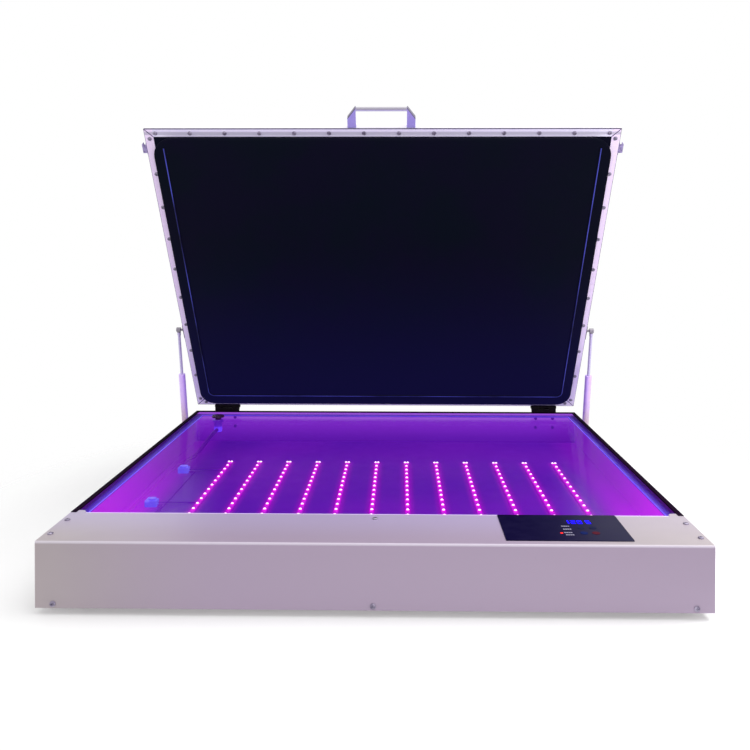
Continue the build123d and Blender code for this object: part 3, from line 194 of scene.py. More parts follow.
def plastic(name, colour, shade, rough):
    # moulded plastic: faint clouds in the colour and a very fine grain
    paint = Paint(name)
    paint.set(baseColor=paint.mix(paint.noise(18.0, 3.0).rise(0.35, 0.7), colour, shade))
    paint.set(roughness=paint.noise(70.0, 2.0) * 0.12 + (rough - 0.06))
    return paint.bump(paint.noise(1400.0, 1.0), 0.00004, 0.25)


def rubber(name, colour, shade, rough=0.6, shine=0.12):
    # dull rubber or matt black: cloudy colour, uneven gloss and a coarse skin
    paint = Paint(name, specularIorLevel=shine)
    cloudy = paint.noise(7.0, 4.0, 0.6)
    paint.set(baseColor=paint.mix(cloudy.rise(0.35, 0.68), colour, shade))
    paint.set(roughness=paint.noise(40.0, 3.0) * 0.2 + (rough - 0.1))
    return paint.bump(paint.noise(700.0, 2.0), 0.00008, 0.4)


spring = {"axisX": 0.568, "footShadeFade": (0.10, 0.19), "shadedSide": (-0.0085, -0.0025), "ballFitting": 0.0150}


def springCoat(s=spring):
    # pale tube with the lamps' lilac light painted on and a faint painted glow, painted shade of a deeper
    # lilac on the side that faces the lamps, and painted shade, greyer, at its foot
    paint = Paint("springPaint", coatWeight=0.2, coatRoughness=0.2, emissionStrength=0.14)
    # painted shade: greyer towards the foot, lilac lamp light painted above it
    colour = paint.mix(1.0 - paint.z.rise(*s["footShadeFade"]), tone(222, 190, 255), tone(190, 164, 184))
    # painted shade: a deeper lilac down the tube's inner side
    shade = 1.0 - (abs(paint.x) - s["axisX"]).rise(*s["shadedSide"])
    colour = paint.mix(shade * 0.8, colour, tone(166, 128, 232))
    mottle = paint.noise(40.0, 3.0).rise(0.3, 0.7)
    # the lilac colour also glows a little as painted light
    paint.set(baseColor=paint.mix(mottle * 0.2, colour, tone(196, 176, 226)), emissionColor=colour)
    paint.set(roughness=paint.noise(60.0, 2.0) * 0.12 + 0.22)
    return paint.bump(paint.noise(500.0, 2.0), 0.00003, 0.2)


def rodCoat(s=spring):
    # bright drawn rod with the lamps' lilac light painted into its colour, with a greyer end fitting round
    # the ball
    paint = Paint("rodPaint", metallic=0.25)
    lines = paint.noise(140.0, 3.0, 0.6, (1, 40, 1))
    # the lamps' lilac light painted into the rod's colour
    lilacLitRod = paint.mix(lines.rise(0.35, 0.7), tone(220, 212, 242), tone(190, 182, 222))
    fitting = paint.mix(lines, tone(168, 162, 172), tone(128, 122, 134))
    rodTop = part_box("spring_rod_left")[1][2]
    paint.set(baseColor=paint.mix(paint.z > rodTop - s["ballFitting"], lilacLitRod, fitting))
    return paint.set(roughness=lines * 0.2 + 0.22)


cover = {
    "topZ": (0.1195, 0.1208), "lilacCastFromX": (-0.62, -0.22), "litTopFromX": (0.20, 0.46),
    "lilacY": (-0.505, -0.372), "lilacEndX": (0.25, 0.46), "foldZ": (0.1165, 0.1185),
    "foldY": (-0.5085, -0.5065), "edgeHighlightY": -0.3728, "edgeHighlightHalf": 0.5222,
}


def coverCoat(c=cover):
    # greyish white paint with painted light on it: a lilac cast of the lamps across the middle, paler where
    # light falls on the right of the top, lilac lamp light near the glass, a painted highlight along the
    # front fold and a bright painted highlight along the very edge by the glass
    paint = Paint("coverPaint", coatWeight=0.08, coatRoughness=0.3)
    mottle = paint.noise(3.2, 4.0).rise(0.3, 0.7)
    plain = paint.mix(mottle, tone(170, 160, 161), tone(162, 152, 155))
    top = paint.z.rise(*c["topZ"])
    # painted light: a lilac cast of the lamps from the middle rightwards, held back on the right of the
    # top, which is left paler as if lit
    lilacCast = paint.x.rise(*c["lilacCastFromX"]) * (1.0 - paint.x.rise(*c["litTopFromX"]) * top * 0.9)
    plain = paint.mix(lilacCast, plain, tone(164, 147, 169))
    # painted light: the lamps' lilac light on the top near the glass
    glassLilacLight = paint.y.rise(*c["lilacY"]) * top * (1.0 - paint.x.rise(*c["lilacEndX"]) * 0.7)
    colour = paint.mix(glassLilacLight * 0.5, plain, tone(180, 168, 210))
    # painted highlight along the front fold
    foldHighlight = paint.z.rise(*c["foldZ"]) * (1.0 - paint.y.rise(*c["foldY"]))
    colour = paint.mix(foldHighlight * 0.5, colour, tone(226, 220, 232))
    # painted highlight: bright lilac along the very edge by the glass
    edge = (paint.y > c["edgeHighlightY"]) * (abs(paint.x) < c["edgeHighlightHalf"])
    colour = paint.mix(edge, colour, tone(236, 216, 255))
    dust = paint.noise(60.0, 5.0, 0.7).rise(0.60, 0.82)
    paint.set(baseColor=paint.mix(dust * 0.14, colour, tone(136, 130, 138)))
    paint.set(roughness=paint.noise(24.0, 2.0) * 0.14 + 0.38)
    return paint.bump(paint.noise(900.0, 2.0), 0.00006, 0.35)


def lidDistance(paint, direction):
    # how far the point lies from the lid's hinge edge in one of the lid's directions
    edgeHighlightY, edgeZ = lidEdge[1:].tolist()
    shareY, shareZ = direction[1:].tolist()
    return (paint.y - edgeHighlightY) * shareY + (paint.z - edgeZ) * shareZ


handle = {
    "barFrom": (0.921, 0.925), "barHalf": (0.056, 0.061), "topEdge": (0.9262, 0.9275),
    "wingHalf": 0.078, "wingTop": 0.906, "wingSlope": (0.8, 0.6), "wingShadeRim": 0.0017, "wingFrom": 0.9045,
}


def handleCoat(h=handle):
    # painted handle: grey where it faces the room, the lamps' lilac light painted down the legs and under
    # the bar, and painted shade along the rims of its wings
    paint = Paint("handlePaint", coatWeight=0.1, coatRoughness=0.3)
    along = lidDistance(paint, lidAlong)
    bar = along.rise(*h["barFrom"]) * (1.0 - abs(paint.x).rise(*h["barHalf"]))
    mottle = paint.noise(14.0, 3.0).rise(0.3, 0.7)
    # painted light: the lamps' lilac down the legs
    legsLilacLight = paint.mix(mottle, tone(178, 166, 238), tone(160, 146, 228))
    # painted light: lilac under the bar, grey along its top edge
    barUnderLight = paint.mix(along.rise(*h["topEdge"]), tone(196, 190, 224), tone(168, 164, 176))
    colour = paint.mix(bar, legsLilacLight, barUnderLight)
    slopeX, slopeAlong = h["wingSlope"]
    # painted shade: a dark line along the slanted rim of each wing
    slant = (abs(paint.x) - h["wingHalf"]) * slopeX + (along - h["wingTop"]) * slopeAlong
    colour = paint.mix((slant > -h["wingShadeRim"]) * (along > h["wingFrom"]), colour, tone(104, 98, 122))
    paint.set(baseColor=colour, roughness=paint.noise(24.0, 2.0) * 0.14 + 0.36)
    return paint.bump(paint.noise(900.0, 2.0), 0.00006, 0.35)


bead = {"crestHighlight": (0.0186, 0.01895)}


def beadCoat(b=bead):
    # rubber bead with a painted blue highlight along its crest, glowing a little as painted light
    paint = Paint("beadPaint", specularIorLevel=0.1, roughness=0.5)
    # painted highlight: blue light along the crest
    crestHighlight = lidDistance(paint, lidInward).rise(*b["crestHighlight"]) * paint.noise(5.0, 3.0).rise(0.30, 0.62)
    colour = paint.mix(crestHighlight, tone(9, 9, 28), tone(78, 84, 190))
    return paint.set(baseColor=colour, emissionColor=colour, emissionStrength=0.12)


strip = {"width": 0.020, "hingeLightFade": (0.1, 0.5), "greyFrom": (0.8655, 0.8680), "greyTo": (0.8725, 0.8765),
         "joint": 0.0014, "sideJoint": 0.0008, "hingeJoint": 0.0010}


def stripCoat(s=strip):
    # brushed aluminium strips with the lamps' lilac light painted on and a faint painted glow, grey along
    # the inner half of the free edge's strip, with a dark joint along the lid's outline and in the mitres
    # painted glow: a faint violet light given off by the strips themselves
    paint = Paint("stripPaint", emissionStrength=0.07, emissionColor=tone(150, 110, 255))
    along = lidDistance(paint, lidAlong)
    side = abs(paint.x)
    lines = paint.noise(160.0, 3.0, 0.6, (1, 8, 8))
    # painted light: lilac on the strips, changing from the hinge outwards on the side strips
    across = paint.mix(lines.rise(0.3, 0.7), tone(248, 243, 255), tone(232, 226, 252))
    upright = paint.mix(along.rise(*s["hingeLightFade"]), tone(242, 230, 255), tone(252, 234, 255))
    colour = paint.mix(side > lid["half"] - s["width"], across, upright)
    grey = along.rise(*s["greyFrom"]) * (1.0 - along.rise(*s["greyTo"]))
    colour = paint.mix(grey * 0.7, colour, tone(176, 174, 182))
    ends = (along > lid["length"] - s["joint"]) + (along < s["hingeJoint"])
    outline = ends + (side > lid["half"] - s["sideJoint"])
    freeCorner = abs(side - along + (lid["length"] - lid["half"])) < s["joint"]
    hingeCorner = abs(side + along - lid["half"]) < s["joint"]
    dark = (outline + freeCorner + hingeCorner).clamp()
    paint.set(baseColor=paint.mix(dark, colour, tone(40, 36, 50)))
    paint.set(roughness=lines * 0.2 + 0.34)
    return paint.bump(lines, 0.00003, 0.2)


def blanketCoat(hingeLightFade=(0.02, 0.60)):
    # near-black rubber with the blue lamp light painted in as a glow, more towards the hinge side
    paint = Paint("blanketRubber", specularIorLevel=0.02, emissionStrength=0.95)
    along = lidDistance(paint, lidAlong)
    cloudy = paint.noise(5.0, 4.0, 0.6).rise(0.3, 0.7)
    plain = paint.mix(cloudy, tone(10, 9, 26), tone(7, 12, 22))
    # painted light: bluer towards the hinge side
    colour = paint.mix(1.0 - along.rise(*hingeLightFade), plain, tone(14, 12, 50))
    # the colour is given mostly as a painted glow, so it looks the same lit or shaded
    paint.set(baseColor=paint.mix(0.85, colour, tone(3, 3, 7)), emissionColor=colour)
    paint.set(roughness=paint.noise(40.0, 3.0) * 0.16 + 0.5)
    return paint.bump(paint.noise(700.0, 2.0), 0.00008, 0.4)


# the violet lamp light inside the base, painted into the colours of the pieces there: its colours, then
# where each one starts and ends
glow = {
    "deckDark": tone(80, 14, 156),
    "deckWarm": tone(98, 18, 164),
    "sideMagenta": tone(172, 30, 216),
    "frontMagenta": tone(214, 24, 240),
    "leftMagenta": tone(186, 26, 216),
    "backCornerShade": tone(56, 8, 130),
    "backLow": tone(92, 18, 164),
    "backHigh": tone(132, 44, 200),
    "backTop": tone(176, 104, 226),
    "nearBars": tone(166, 0, 184),
    "strength": 0.78,
    "gloss": 0.12,
    "sideX": (0.452, 0.534), "sideY": (-0.30, 0.40), "frontY": (-0.38, 0.05),
    "backY": (0.478, 0.507), "wallZ": (0.03, 0.11), "wallTopZ": (0.094, 0.104),
    "cornerX": (-0.50, -0.30), "cornerY": (-0.10, 0.20),
    "barEndX": (0.44, 0.47), "barEndY": (0.262, 0.285), "barTopZ": (0.040, 0.046),
}


def offMiddle(distance, pitch):
    # how far a point lies from the middle of its step in a row, 0 to 0.5
    wholeSteps = 20.0  # keeps what is divided above zero
    return abs((distance / pitch + wholeSteps).fraction() - 0.5)


def insideLightColour(paint, g=glow):
    # the lamps' light painted on: purple deck with painted shade in its back left corner, magenta light
    # towards both sides, lighter up the back wall, pink light along every bar
    side = abs(paint.x).rise(*g["sideX"])
    mottle = paint.noise(2.4, 3.0).rise(0.3, 0.7)
    deck = paint.mix(mottle, g["deckDark"], g["deckWarm"])
    # painted shade: darker in the deck's back left corner
    cornerShade = (1.0 - paint.x.rise(*g["cornerX"])) * paint.y.rise(*g["cornerY"])
    deck = paint.mix(cornerShade * 0.6, deck, g["backCornerShade"])
    wall = paint.mix(paint.z.rise(*g["wallZ"]), g["backLow"], g["backHigh"])
    wall = paint.mix(paint.z.rise(*g["wallTopZ"]) * 0.55, wall, g["backTop"])
    back = paint.y.rise(*g["backY"])
    colour = paint.mix(back, deck, wall)
    forward = 1.0 - paint.y.rise(*g["sideY"]) * 0.70
    front = paint.mix(paint.x > 0.0, g["leftMagenta"], g["frontMagenta"])
    magenta = paint.mix(1.0 - paint.y.rise(*g["frontY"]), g["sideMagenta"], front)
    colour = paint.mix(side * (1.0 - back * 0.75) * forward, colour, magenta)
    # painted light: pink spots of chip light along each bar
    fromBars = paint.x - bars["shift"]
    spot = 1.0 - offMiddle(fromBars, bars["pitch"]).rise(0.06, 0.26)
    reach = (1.0 - abs(fromBars).rise(*g["barEndX"])) * (1.0 - paint.y.rise(*g["barEndY"]))
    low = 1.0 - paint.z.rise(*g["barTopZ"])
    return paint.mix(spot * reach * low * 0.5, colour, g["nearBars"])


def insideLightPaint(name, lift=1.0):
    # any piece in the base, with that violet light painted on and glowing by itself
    paint = Paint(name, emissionStrength=glow["strength"] * lift, specularIorLevel=glow["gloss"])
    colour = insideLightColour(paint)
    paint.set(baseColor=paint.mix(0.55, colour, tone(40, 10, 70)), emissionColor=colour)
    paint.set(roughness=paint.noise(30.0, 2.0) * 0.15 + 0.27)
    return paint.bump(paint.noise(220.0, 2.0), 0.00008, 0.25)


ledge = {"topZ": (0.1105, 0.1118), "outerX": (0.535, 0.543), "lineIn": (0.0024, 0.0020)}


def ledgeCoat(e=ledge):
    # the flange under the glass, with the lamps' light painted on as a glow: dark violet outside the
    # gasket, like the walls below it
    paint = Paint("ledgePaint", emissionStrength=glow["strength"], specularIorLevel=glow["gloss"])
    top = paint.z.rise(*e["topZ"])
    outer = abs(paint.x).rise(*e["outerX"])
    flange = paint.mix(outer, tone(68, 36, 164), tone(44, 18, 100))
    colour = paint.mix(top, insideLightColour(paint), flange)
    paint.set(baseColor=paint.mix(0.5, colour, tone(30, 8, 60)), emissionColor=colour)
    paint.set(roughness=paint.noise(30.0, 2.0) * 0.15 + 0.3)
    return paint.bump(paint.noise(220.0, 2.0), 0.00008, 0.25)


def gasketCoat(e=ledge):
    # a pale line of painted lamp light along the inner edge of the gasket, the rest as the flange beside
    # it, all glowing as painted light
    paint = Paint("gasketPaint", emissionStrength=0.80, roughness=0.4, specularIorLevel=glow["gloss"])
    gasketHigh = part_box("glass_gasket")[1]
    sideIn, backIn = e["lineIn"]
    paleLightLine = (abs(paint.x) < gasketHigh[0] - sideIn) * (paint.y < gasketHigh[1] - backIn)
    edge = paint.mix(paint.noise(6.0, 3.0).rise(0.35, 0.65), tone(122, 78, 240), tone(92, 54, 220))
    colour = paint.mix(paleLightLine, tone(64, 34, 172), edge)
    return paint.set(baseColor=paint.mix(0.4, colour, tone(60, 30, 150)), emissionColor=colour)


# the inner faces of the base's walls and floor
tray = {"half": 0.5492, "back": 0.5092, "front": -0.384, "floor": 0.0130}


def boltCoat(t=tray):
    # grey outside, with the violet lamp light painted on as a glow where the nuts stand inside the back
    # wall
    paint = Paint("boltPaint", emissionStrength=0.85, roughness=0.6, specularIorLevel=0.05)
    inside = paint.y < t["back"]
    outside = paint.mix(paint.noise(90.0), tone(120, 114, 128), tone(84, 78, 92))
    violetGlow = paint.mix(paint.noise(90.0), tone(98, 30, 172), tone(80, 22, 152))
    paint.set(baseColor=paint.mix(inside, outside, tone(40, 12, 80)))
    return paint.set(emissionColor=paint.mix(inside, tone(0, 0, 0), violetGlow))


def elbowCoat(lampLitBelow=(0.088, 0.098)):
    # clear violet plastic glowing with painted lamp light, bright at its low end, as dark as the wall
    # behind it above
    paint = Paint("elbowPaint", emissionStrength=0.85, roughness=0.3)
    low = 1.0 - paint.z.rise(*lampLitBelow)
    colour = paint.mix(low, tone(84, 24, 160), tone(112, 62, 255))
    paint.set(emissionColor=colour, baseColor=paint.mix(paint.noise(90.0), colour, tone(60, 20, 130)))
    return paint


def connectorCoat(topZ=(0.044, 0.056)):
    # white shells with the blue-violet lamp light painted on as a glow, and painted highlights on their
    # tops
    paint = Paint("connectorPaint", emissionStrength=0.66, roughness=0.4)
    topHighlight = paint.noise(90.0, 3.0).rise(0.42, 0.62) * paint.z.rise(*topZ)
    colour = paint.mix(topHighlight, tone(84, 66, 204), tone(140, 130, 245))
    paint.set(emissionColor=colour, baseColor=paint.mix(0.5, colour, tone(120, 100, 220)))
    return paint


def trayPaint(t=tray):
    # outside the grey of the cover, inside the lamps' light painted on as a glow
    paint = Paint("trayPaint", emissionStrength=glow["strength"], specularIorLevel=0.18)
    mottle = paint.noise(3.2, 4.0).rise(0.3, 0.7)
    outside = paint.mix(mottle, tone(194, 187, 191), tone(184, 176, 181))
    between = (paint.y < t["back"]) * (paint.y > t["front"])
    inside = (abs(paint.x) < t["half"]) * between * (paint.z > t["floor"])
    colour = insideLightColour(paint)
    paint.set(baseColor=paint.mix(inside, outside, paint.mix(0.55, colour, tone(40, 10, 70))))
    paint.set(emissionColor=paint.mix(inside, tone(0, 0, 0), colour))
    paint.set(roughness=paint.noise(24.0, 2.0) * 0.14 + 0.35)
    return paint.bump(paint.noise(900.0, 2.0), 0.00006, 0.35)


coverPaint = coverCoat()
railPaint = powderCoat("railPaint", tone(240, 237, 242), tone(232, 228, 235))
stripPaint = stripCoat()
handlePaint = handleCoat()
hingePaint = rubber("hingePaint", tone(15, 9, 15), tone(10, 6, 10), 0.45, 0.12)
springPaint = springCoat()
deckPaint = insideLightPaint("deckPaint")
ledgePaint = ledgeCoat()
dividerPaint = insideLightPaint("dividerPaint", 0.9)
platedMetal = metal("platedMetal", tone(196, 190, 200), tone(150, 144, 158))
screwMetal = metal("screwMetal", tone(168, 160, 180), tone(112, 104, 126), 0.4, (1, 1, 1), 0.55)
# the latch keepers' plated metal, painted darker and lilac as the lamps light it
keeperMetal = metal("keeperMetal", tone(172, 158, 206), tone(122, 110, 152), 0.4, (1, 1, 1), 0.6)
rodMetal = rodCoat()
studMetal = metal("studMetal", tone(146, 140, 152), tone(98, 92, 106), 0.38, (1, 1, 1), 0.6)
blanketRubber = blanketCoat()
beadRubber = beadCoat()
rimRubber = rubber("rimRubber", tone(24, 5, 30), tone(18, 4, 23), 0.8, 0.02)
footRubber = rubber("footRubber", tone(34, 32, 34), tone(24, 22, 24), 0.7)
hoseRubber = insideLightPaint("hoseRubber", 0.95)
blackPlastic = plastic("blackPlastic", tone(26, 22, 30), tone(16, 14, 20), 0.38)
portPaint = plastic("portPaint", tone(52, 16, 60), tone(34, 8, 42), 0.25)
wirePlastic = insideLightPaint("wirePlastic", 1.0)
boardPaint = plastic("boardPaint", tone(28, 92, 58), tone(20, 70, 44), 0.3)
supplyMetal = metal("supplyMetal", tone(176, 178, 184), tone(150, 152, 160), 0.4)
pumpMetal = metal("pumpMetal", tone(120, 122, 128), tone(92, 94, 102), 0.5, (1, 1, 1), 0.8)
greyKey = rubber("greyKey", tone(26, 30, 66), tone(20, 24, 56), 0.5, 0.03)
blueKey = rubber("blueKey", tone(14, 32, 92), tone(10, 26, 78), 0.5, 0.03)
redKey = rubber("redKey", tone(88, 24, 42), tone(74, 18, 34), 0.5, 0.03)


def lit(name, colour, base, strength):
    # something that shines by itself, a little uneven
    paint = Paint(name, emissionStrength=strength, roughness=0.35, specularIorLevel=0.03)
    uneven = paint.noise(400.0, 2.0).rise(0.2, 0.8)
    paint.set(baseColor=paint.mix(uneven, base, colour))
    paint.set(emissionColor=paint.mix(uneven * 0.25, colour, base))
    return paint


whitePlastic = connectorCoat()
violetPlastic = elbowCoat()
gasketGlow = gasketCoat()
lensGlow = lit("lensGlow", tone(255, 226, 255), tone(255, 190, 255), 1.25)
lampGlow = lit("lampGlow", tone(255, 44, 30), tone(220, 24, 20), 1.0)
legendInk = plastic("legendInk", tone(150, 146, 168), tone(120, 116, 140), 0.5)
digitGlow = lit("digitGlow", tone(22, 2, 255), tone(16, 0, 200), 1.3)


def barPaint(b=bars):
    # white boards with the chips' pink light painted on as a glow, strongest round each chip and painted
    # darker towards each board's edges
    paint = Paint("barPaint", emissionStrength=0.92, roughness=0.45, specularIorLevel=0.1)
    fromLast = (barsHigh[1] - b["lastIn"] + b["chipPitch"] / 2) - paint.y
    chipGlow = 1.0 - offMiddle(fromLast, b["chipPitch"]).rise(0.08, 0.45)
    colour = paint.mix(chipGlow, tone(188, 0, 208), tone(236, 0, 226))
    edge = offMiddle(paint.x - b["shift"], b["pitch"]).rise(0.048, 0.080)
    colour = paint.mix(edge, colour, tone(150, 2, 186))
    board = paint.mix(paint.noise(90.0), tone(110, 10, 130), tone(86, 6, 110))
    paint.set(emissionColor=colour, baseColor=board)
    return paint.bump(paint.noise(500.0, 1.0), 0.00005, 0.2)


def glassPaint():
    # clear float glass: nearly nothing seen square on, a sheen at a flat angle, faint dust
    paint = Paint("glassPaint", roughness=0.03, baseColor=tone(60, 30, 120), specularIorLevel=0.2)
    edge = paint.node("ShaderNodeLayerWeight", {}, Blend=0.35, out="Fresnel")
    haze = paint.noise(5.0, 5.0, 0.65).rise(0.45, 0.85)
    return paint.set(alpha=(edge * 0.08 + haze * 0.03 + 0.01).clamp())


def filmPaint():
    # dark printed film over the controls, bluish, with painted light across it: more violet and darker to
    # its left, lighter to its right
    paint = Paint("filmPaint", specularIorLevel=0.02)
    panelLow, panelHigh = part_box("control_panel")
    colour = paint.mix(paint.x.rise(panelLow[0], panelHigh[0]), tone(15, 10, 46), tone(30, 28, 56))
    paint.set(baseColor=paint.mix(paint.noise(60.0).rise(0.4, 0.7) * 0.25, colour, tone(34, 30, 64)))
    paint.set(roughness=paint.noise(30.0) * 0.12 + 0.28)
    return paint.bump(paint.noise(1200.0, 1.0), 0.00003, 0.2)


finishes = {
    coverPaint: ["front_cover"],
    trayPaint(): ["base_tray"],
    deckPaint: ["lamp_deck"],
    ledgePaint: ["glass_ledge"],
    dividerPaint: ["divider_panel"],
    hingePaint: ["hinge_base_leaves", "hinge_lid_leaves", "hinge_pins"],
    stripPaint: ["clamp_strips"],
    railPaint: ["lid_rail_front", "lid_rail_back", "lid_rail_left", "lid_rail_right"],
    handlePaint: ["handle"],
    springPaint: ["spring_cylinder_left", "spring_cylinder_right"],
    rodMetal: ["spring_rod_left", "spring_rod_right"],
    studMetal: ["spring_stud_left", "spring_stud_right", "spring_lid_brackets"],
    platedMetal: ["spring_base_brackets", "latch_plates", "latch_pins",
                  "latch_lever_left", "latch_lever_right", "latch_bail_left",
                  "latch_bail_right"],
    keeperMetal: ["latch_keepers"],
    screwMetal: ["cover_screws", "strip_screws", "lid_fasteners", "bracket_screws"],
    boltCoat(): ["hinge_bolts"],
    blanketRubber: ["blanket"],
    beadRubber: ["seal_bead"],
    rimRubber: ["rim_seal"],
    footRubber: ["rubber_feet"],
    hoseRubber: ["vacuum_hose"],
    gasketGlow: ["glass_gasket"],
    glassPaint(): ["glass_plate"],
    filmPaint(): ["control_panel", "display_window"],
    lampGlow: ["indicator_lamp"],
    greyKey: ["key_minus", "key_plus"],
    blueKey: ["key_start"],
    redKey: ["key_stop"],
    barPaint(): ["led_bars"],
    boardPaint: ["control_board"],
    whitePlastic: ["wire_connectors"],
    wirePlastic: ["lamp_wires"],
    supplyMetal: ["power_supplies"],
    pumpMetal: ["vacuum_pump"],
    portPaint: ["port_flange"],
    blackPlastic: ["power_inlet", "rocker_switch", "cooling_fan", "fan_rotor"],
    violetPlastic: ["port_elbow"],
}
for paint, names in finishes.items():
    for name in names:
        nodes[name].data.materials.clear()
        nodes[name].data.materials.append(paint.material)
print("finishes set on", sum(len(names) for names in finishes.values()), "pieces")


def ringQuads(rings, sides):
    # faces between neighbouring closed rings of points, one ring after the other
    index = np.arange(rings * sides).reshape(rings, sides)
    ahead = np.roll(index, -1, 1)
    return np.stack([index[:-1], ahead[:-1], ahead[1:], index[1:]], -1).reshape(-1, 4)


def meshPiece(name, points, quads, paint, body):
    # a smooth piece from its points and four-cornered faces, riding on a body
    mesh = bpy.data.meshes.new(name)
    mesh.vertices.add(len(points))
    mesh.vertices.foreach_set("co", np.asarray(points, np.float32).ravel())
    mesh.loops.add(quads.size)
    mesh.loops.foreach_set("vertex_index", quads.ravel().astype(np.int32))
    mesh.polygons.add(len(quads))
    mesh.polygons.foreach_set("loop_start", np.arange(0, quads.size, quads.shape[1], dtype=np.int32))
    mesh.polygons.foreach_set("use_smooth", np.ones(len(quads), bool))
    mesh.update(calc_edges=True)
    mesh.validate()
    mesh.materials.append(paint.material)
    piece = bpy.data.objects.new(name, mesh)
    bpy.context.scene.collection.objects.link(piece)
    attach(piece, body)
    return piece


# rubber blanket of the lid: a flat rim under the strips and a crown between them
blanket = {
    "margin": 0.003, "crownHalf": 0.5295, "crownStart": 0.0205, "crownEnd": 0.8600,
    "lowCorner": 0.038, "highCorner": 0.045,
    "height": 0.0160, "rim": -0.0021, "round": 0.0050, "bulge": 0.0030,
    "thickness": 0.0022, "sag": 0.0008,
    "perQuarter": 9, "acrossPoints": 60, "alongPoints": 46, "wallRings": 6, "roundRings": 6, "topRings": 40,
}


def crownOutline(b=blanket):
    # straight runs joined by quarter circles, once round from the free edge's right corner
    corners = [(1, 1, b["highCorner"], 0), (-1, 1, b["highCorner"], 1),
               (-1, -1, b["lowCorner"], 2), (1, -1, b["lowCorner"], 3)]
    middle = (b["crownStart"] + b["crownEnd"]) / 2
    halfAlong = (b["crownEnd"] - b["crownStart"]) / 2
    parts = []
    for sx, sv, radius, quarter in corners:
        turn = np.linspace(0, np.pi / 2, b["perQuarter"]) + quarter * np.pi / 2
        centre = np.array([sx * (b["crownHalf"] - radius), middle + sv * (halfAlong - radius)])
        parts.append(centre + radius * np.stack([np.cos(turn), np.sin(turn)], -1))
    runs = []
    for i, part in enumerate(parts):
        runs.append(part)
        count = b["acrossPoints"] if i % 2 == 0 else b["alongPoints"]
        share = np.linspace(0, 1, count + 2)[1:-1, None]
        runs.append(part[-1] * (1 - share) + parts[(i + 1) % 4][0] * share)
    return np.concatenate(runs), np.array([0.0, middle])


def blanketPiece(b=blanket):
    # closed rings round the crown's middle: the rim, the wall, its rounded shoulder, the top
    start, end, half = b["margin"], lid["length"] - b["margin"], lid["half"] - b["margin"]
    outline, middle = crownOutline()
    away = np.roll(outline, -1, 0) - np.roll(outline, 1, 0)
    away = np.stack([away[:, 1], -away[:, 0]], -1)
    away /= np.linalg.norm(away, axis=1, keepdims=True)
    rings = []
    # flat rim from the rectangle's edge to the foot of the wall
    room = np.array([half, (end - start) / 2]) - np.abs(outline - middle)
    reach = (room / np.maximum(np.abs(away), 1e-6)).min(1, keepdims=True)
    for share in (1.0, 0.5, 0.0):
        flat = outline + away * reach * share
        rings.append(np.column_stack([flat, np.full(len(flat), b["rim"])]))
    # wall: up, swelling outwards as a sine, then over a quarter circle onto the top
    wallTop = b["height"] - b["round"]
    for rise in np.linspace(0.15, 1.0, b["wallRings"]):
        swell = b["bulge"] * np.sin(rise * np.pi / 2) * (rise > 0.3)
        spot = outline + away * swell
        rings.append(np.column_stack([spot, np.full(len(spot), b["rim"] + (wallTop - b["rim"]) * rise)]))
    for turn in np.linspace(0, np.pi / 2, b["roundRings"])[1:]:
        spot = outline + away * (b["bulge"] - b["round"] * (1 - np.cos(turn)))
        rings.append(np.column_stack([spot, np.full(len(spot), wallTop + b["round"] * np.sin(turn))]))
    # top: rings drawn in to the middle with shallow waves
    last = rings[-1][:, :2]
    for share in np.linspace(0, 1, b["topRings"])[1:]:
        spot = last * (1 - share) + middle * share
        wave = (np.sin(7.1 * spot[:, 0] + 2.0) * np.sin(6.3 * spot[:, 1] + 0.7)
                + 0.5 * np.sin(15.0 * spot[:, 0] - 4.0 * spot[:, 1]) * np.sin(11.0 * spot[:, 1]) - 1.0)
        rings.append(np.column_stack([spot, b["height"] + b["sag"] * wave * min(1.0, share * 6)]))
    points = np.concatenate(rings)
    points = onLid(points[:, 0], points[:, 1], points[:, 2])
    quads = ringQuads(len(rings), len(outline))
    piece = meshPiece("rubberBlanket", points, quads, blanketRubber, "lid")
    wall = piece.modifiers.new("wall", "SOLIDIFY")
    wall.thickness = b["thickness"]
    wall.offset = -1.0
    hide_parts("blanket")


blanketPiece()
print("blanket made")

# lenses on the diodes
lens = {"radius": 0.0032, "height": 0.0027, "rings": 4, "sides": 12, "topShare": 0.98}


def lensPiece(d=lens, b=bars):
    # one dome on every chip: ring radius falls as a cosine while its height grows as a sine
    rise = np.linspace(0.0, np.pi / 2 * d["topShare"], d["rings"])[:, None]
    turn = np.linspace(0.0, 2 * np.pi, d["sides"], endpoint=False)[None, :]
    dome = np.stack(np.broadcast_arrays(d["radius"] * np.cos(rise) * np.cos(turn),
                                        d["radius"] * np.cos(rise) * np.sin(turn),
                                        d["height"] * np.sin(rise)), -1)
    # one chip in each row of a bar, but two side by side in the last
    barX = b["shift"] + (np.arange(b["count"]) - (b["count"] - 1) / 2) * b["pitch"]
    pairX = np.concatenate([barX - b["pairSpread"] / 2, barX + b["pairSpread"] / 2])
    lastY = barsHigh[1] - b["lastIn"]
    rowY = lastY - np.arange(1, b["rows"]) * b["chipPitch"]
    single = np.stack(np.meshgrid(barX, rowY), -1).reshape(-1, 2)
    pair = np.column_stack([pairX, np.full(len(pairX), lastY)])
    spots = np.concatenate([single, pair])
    centres = np.column_stack([spots, np.full(len(spots), barsHigh[2])])
    points = (centres[:, None, None, :] + dome[None]).reshape(-1, 3)
    first = np.arange(len(spots))[:, None, None] * d["rings"] * d["sides"]
    quads = (ringQuads(d["rings"], d["sides"])[None] + first).reshape(-1, 4)
    meshPiece("diodeLenses", points, quads, lensGlow, "base")


lensPiece()
print("lenses made")

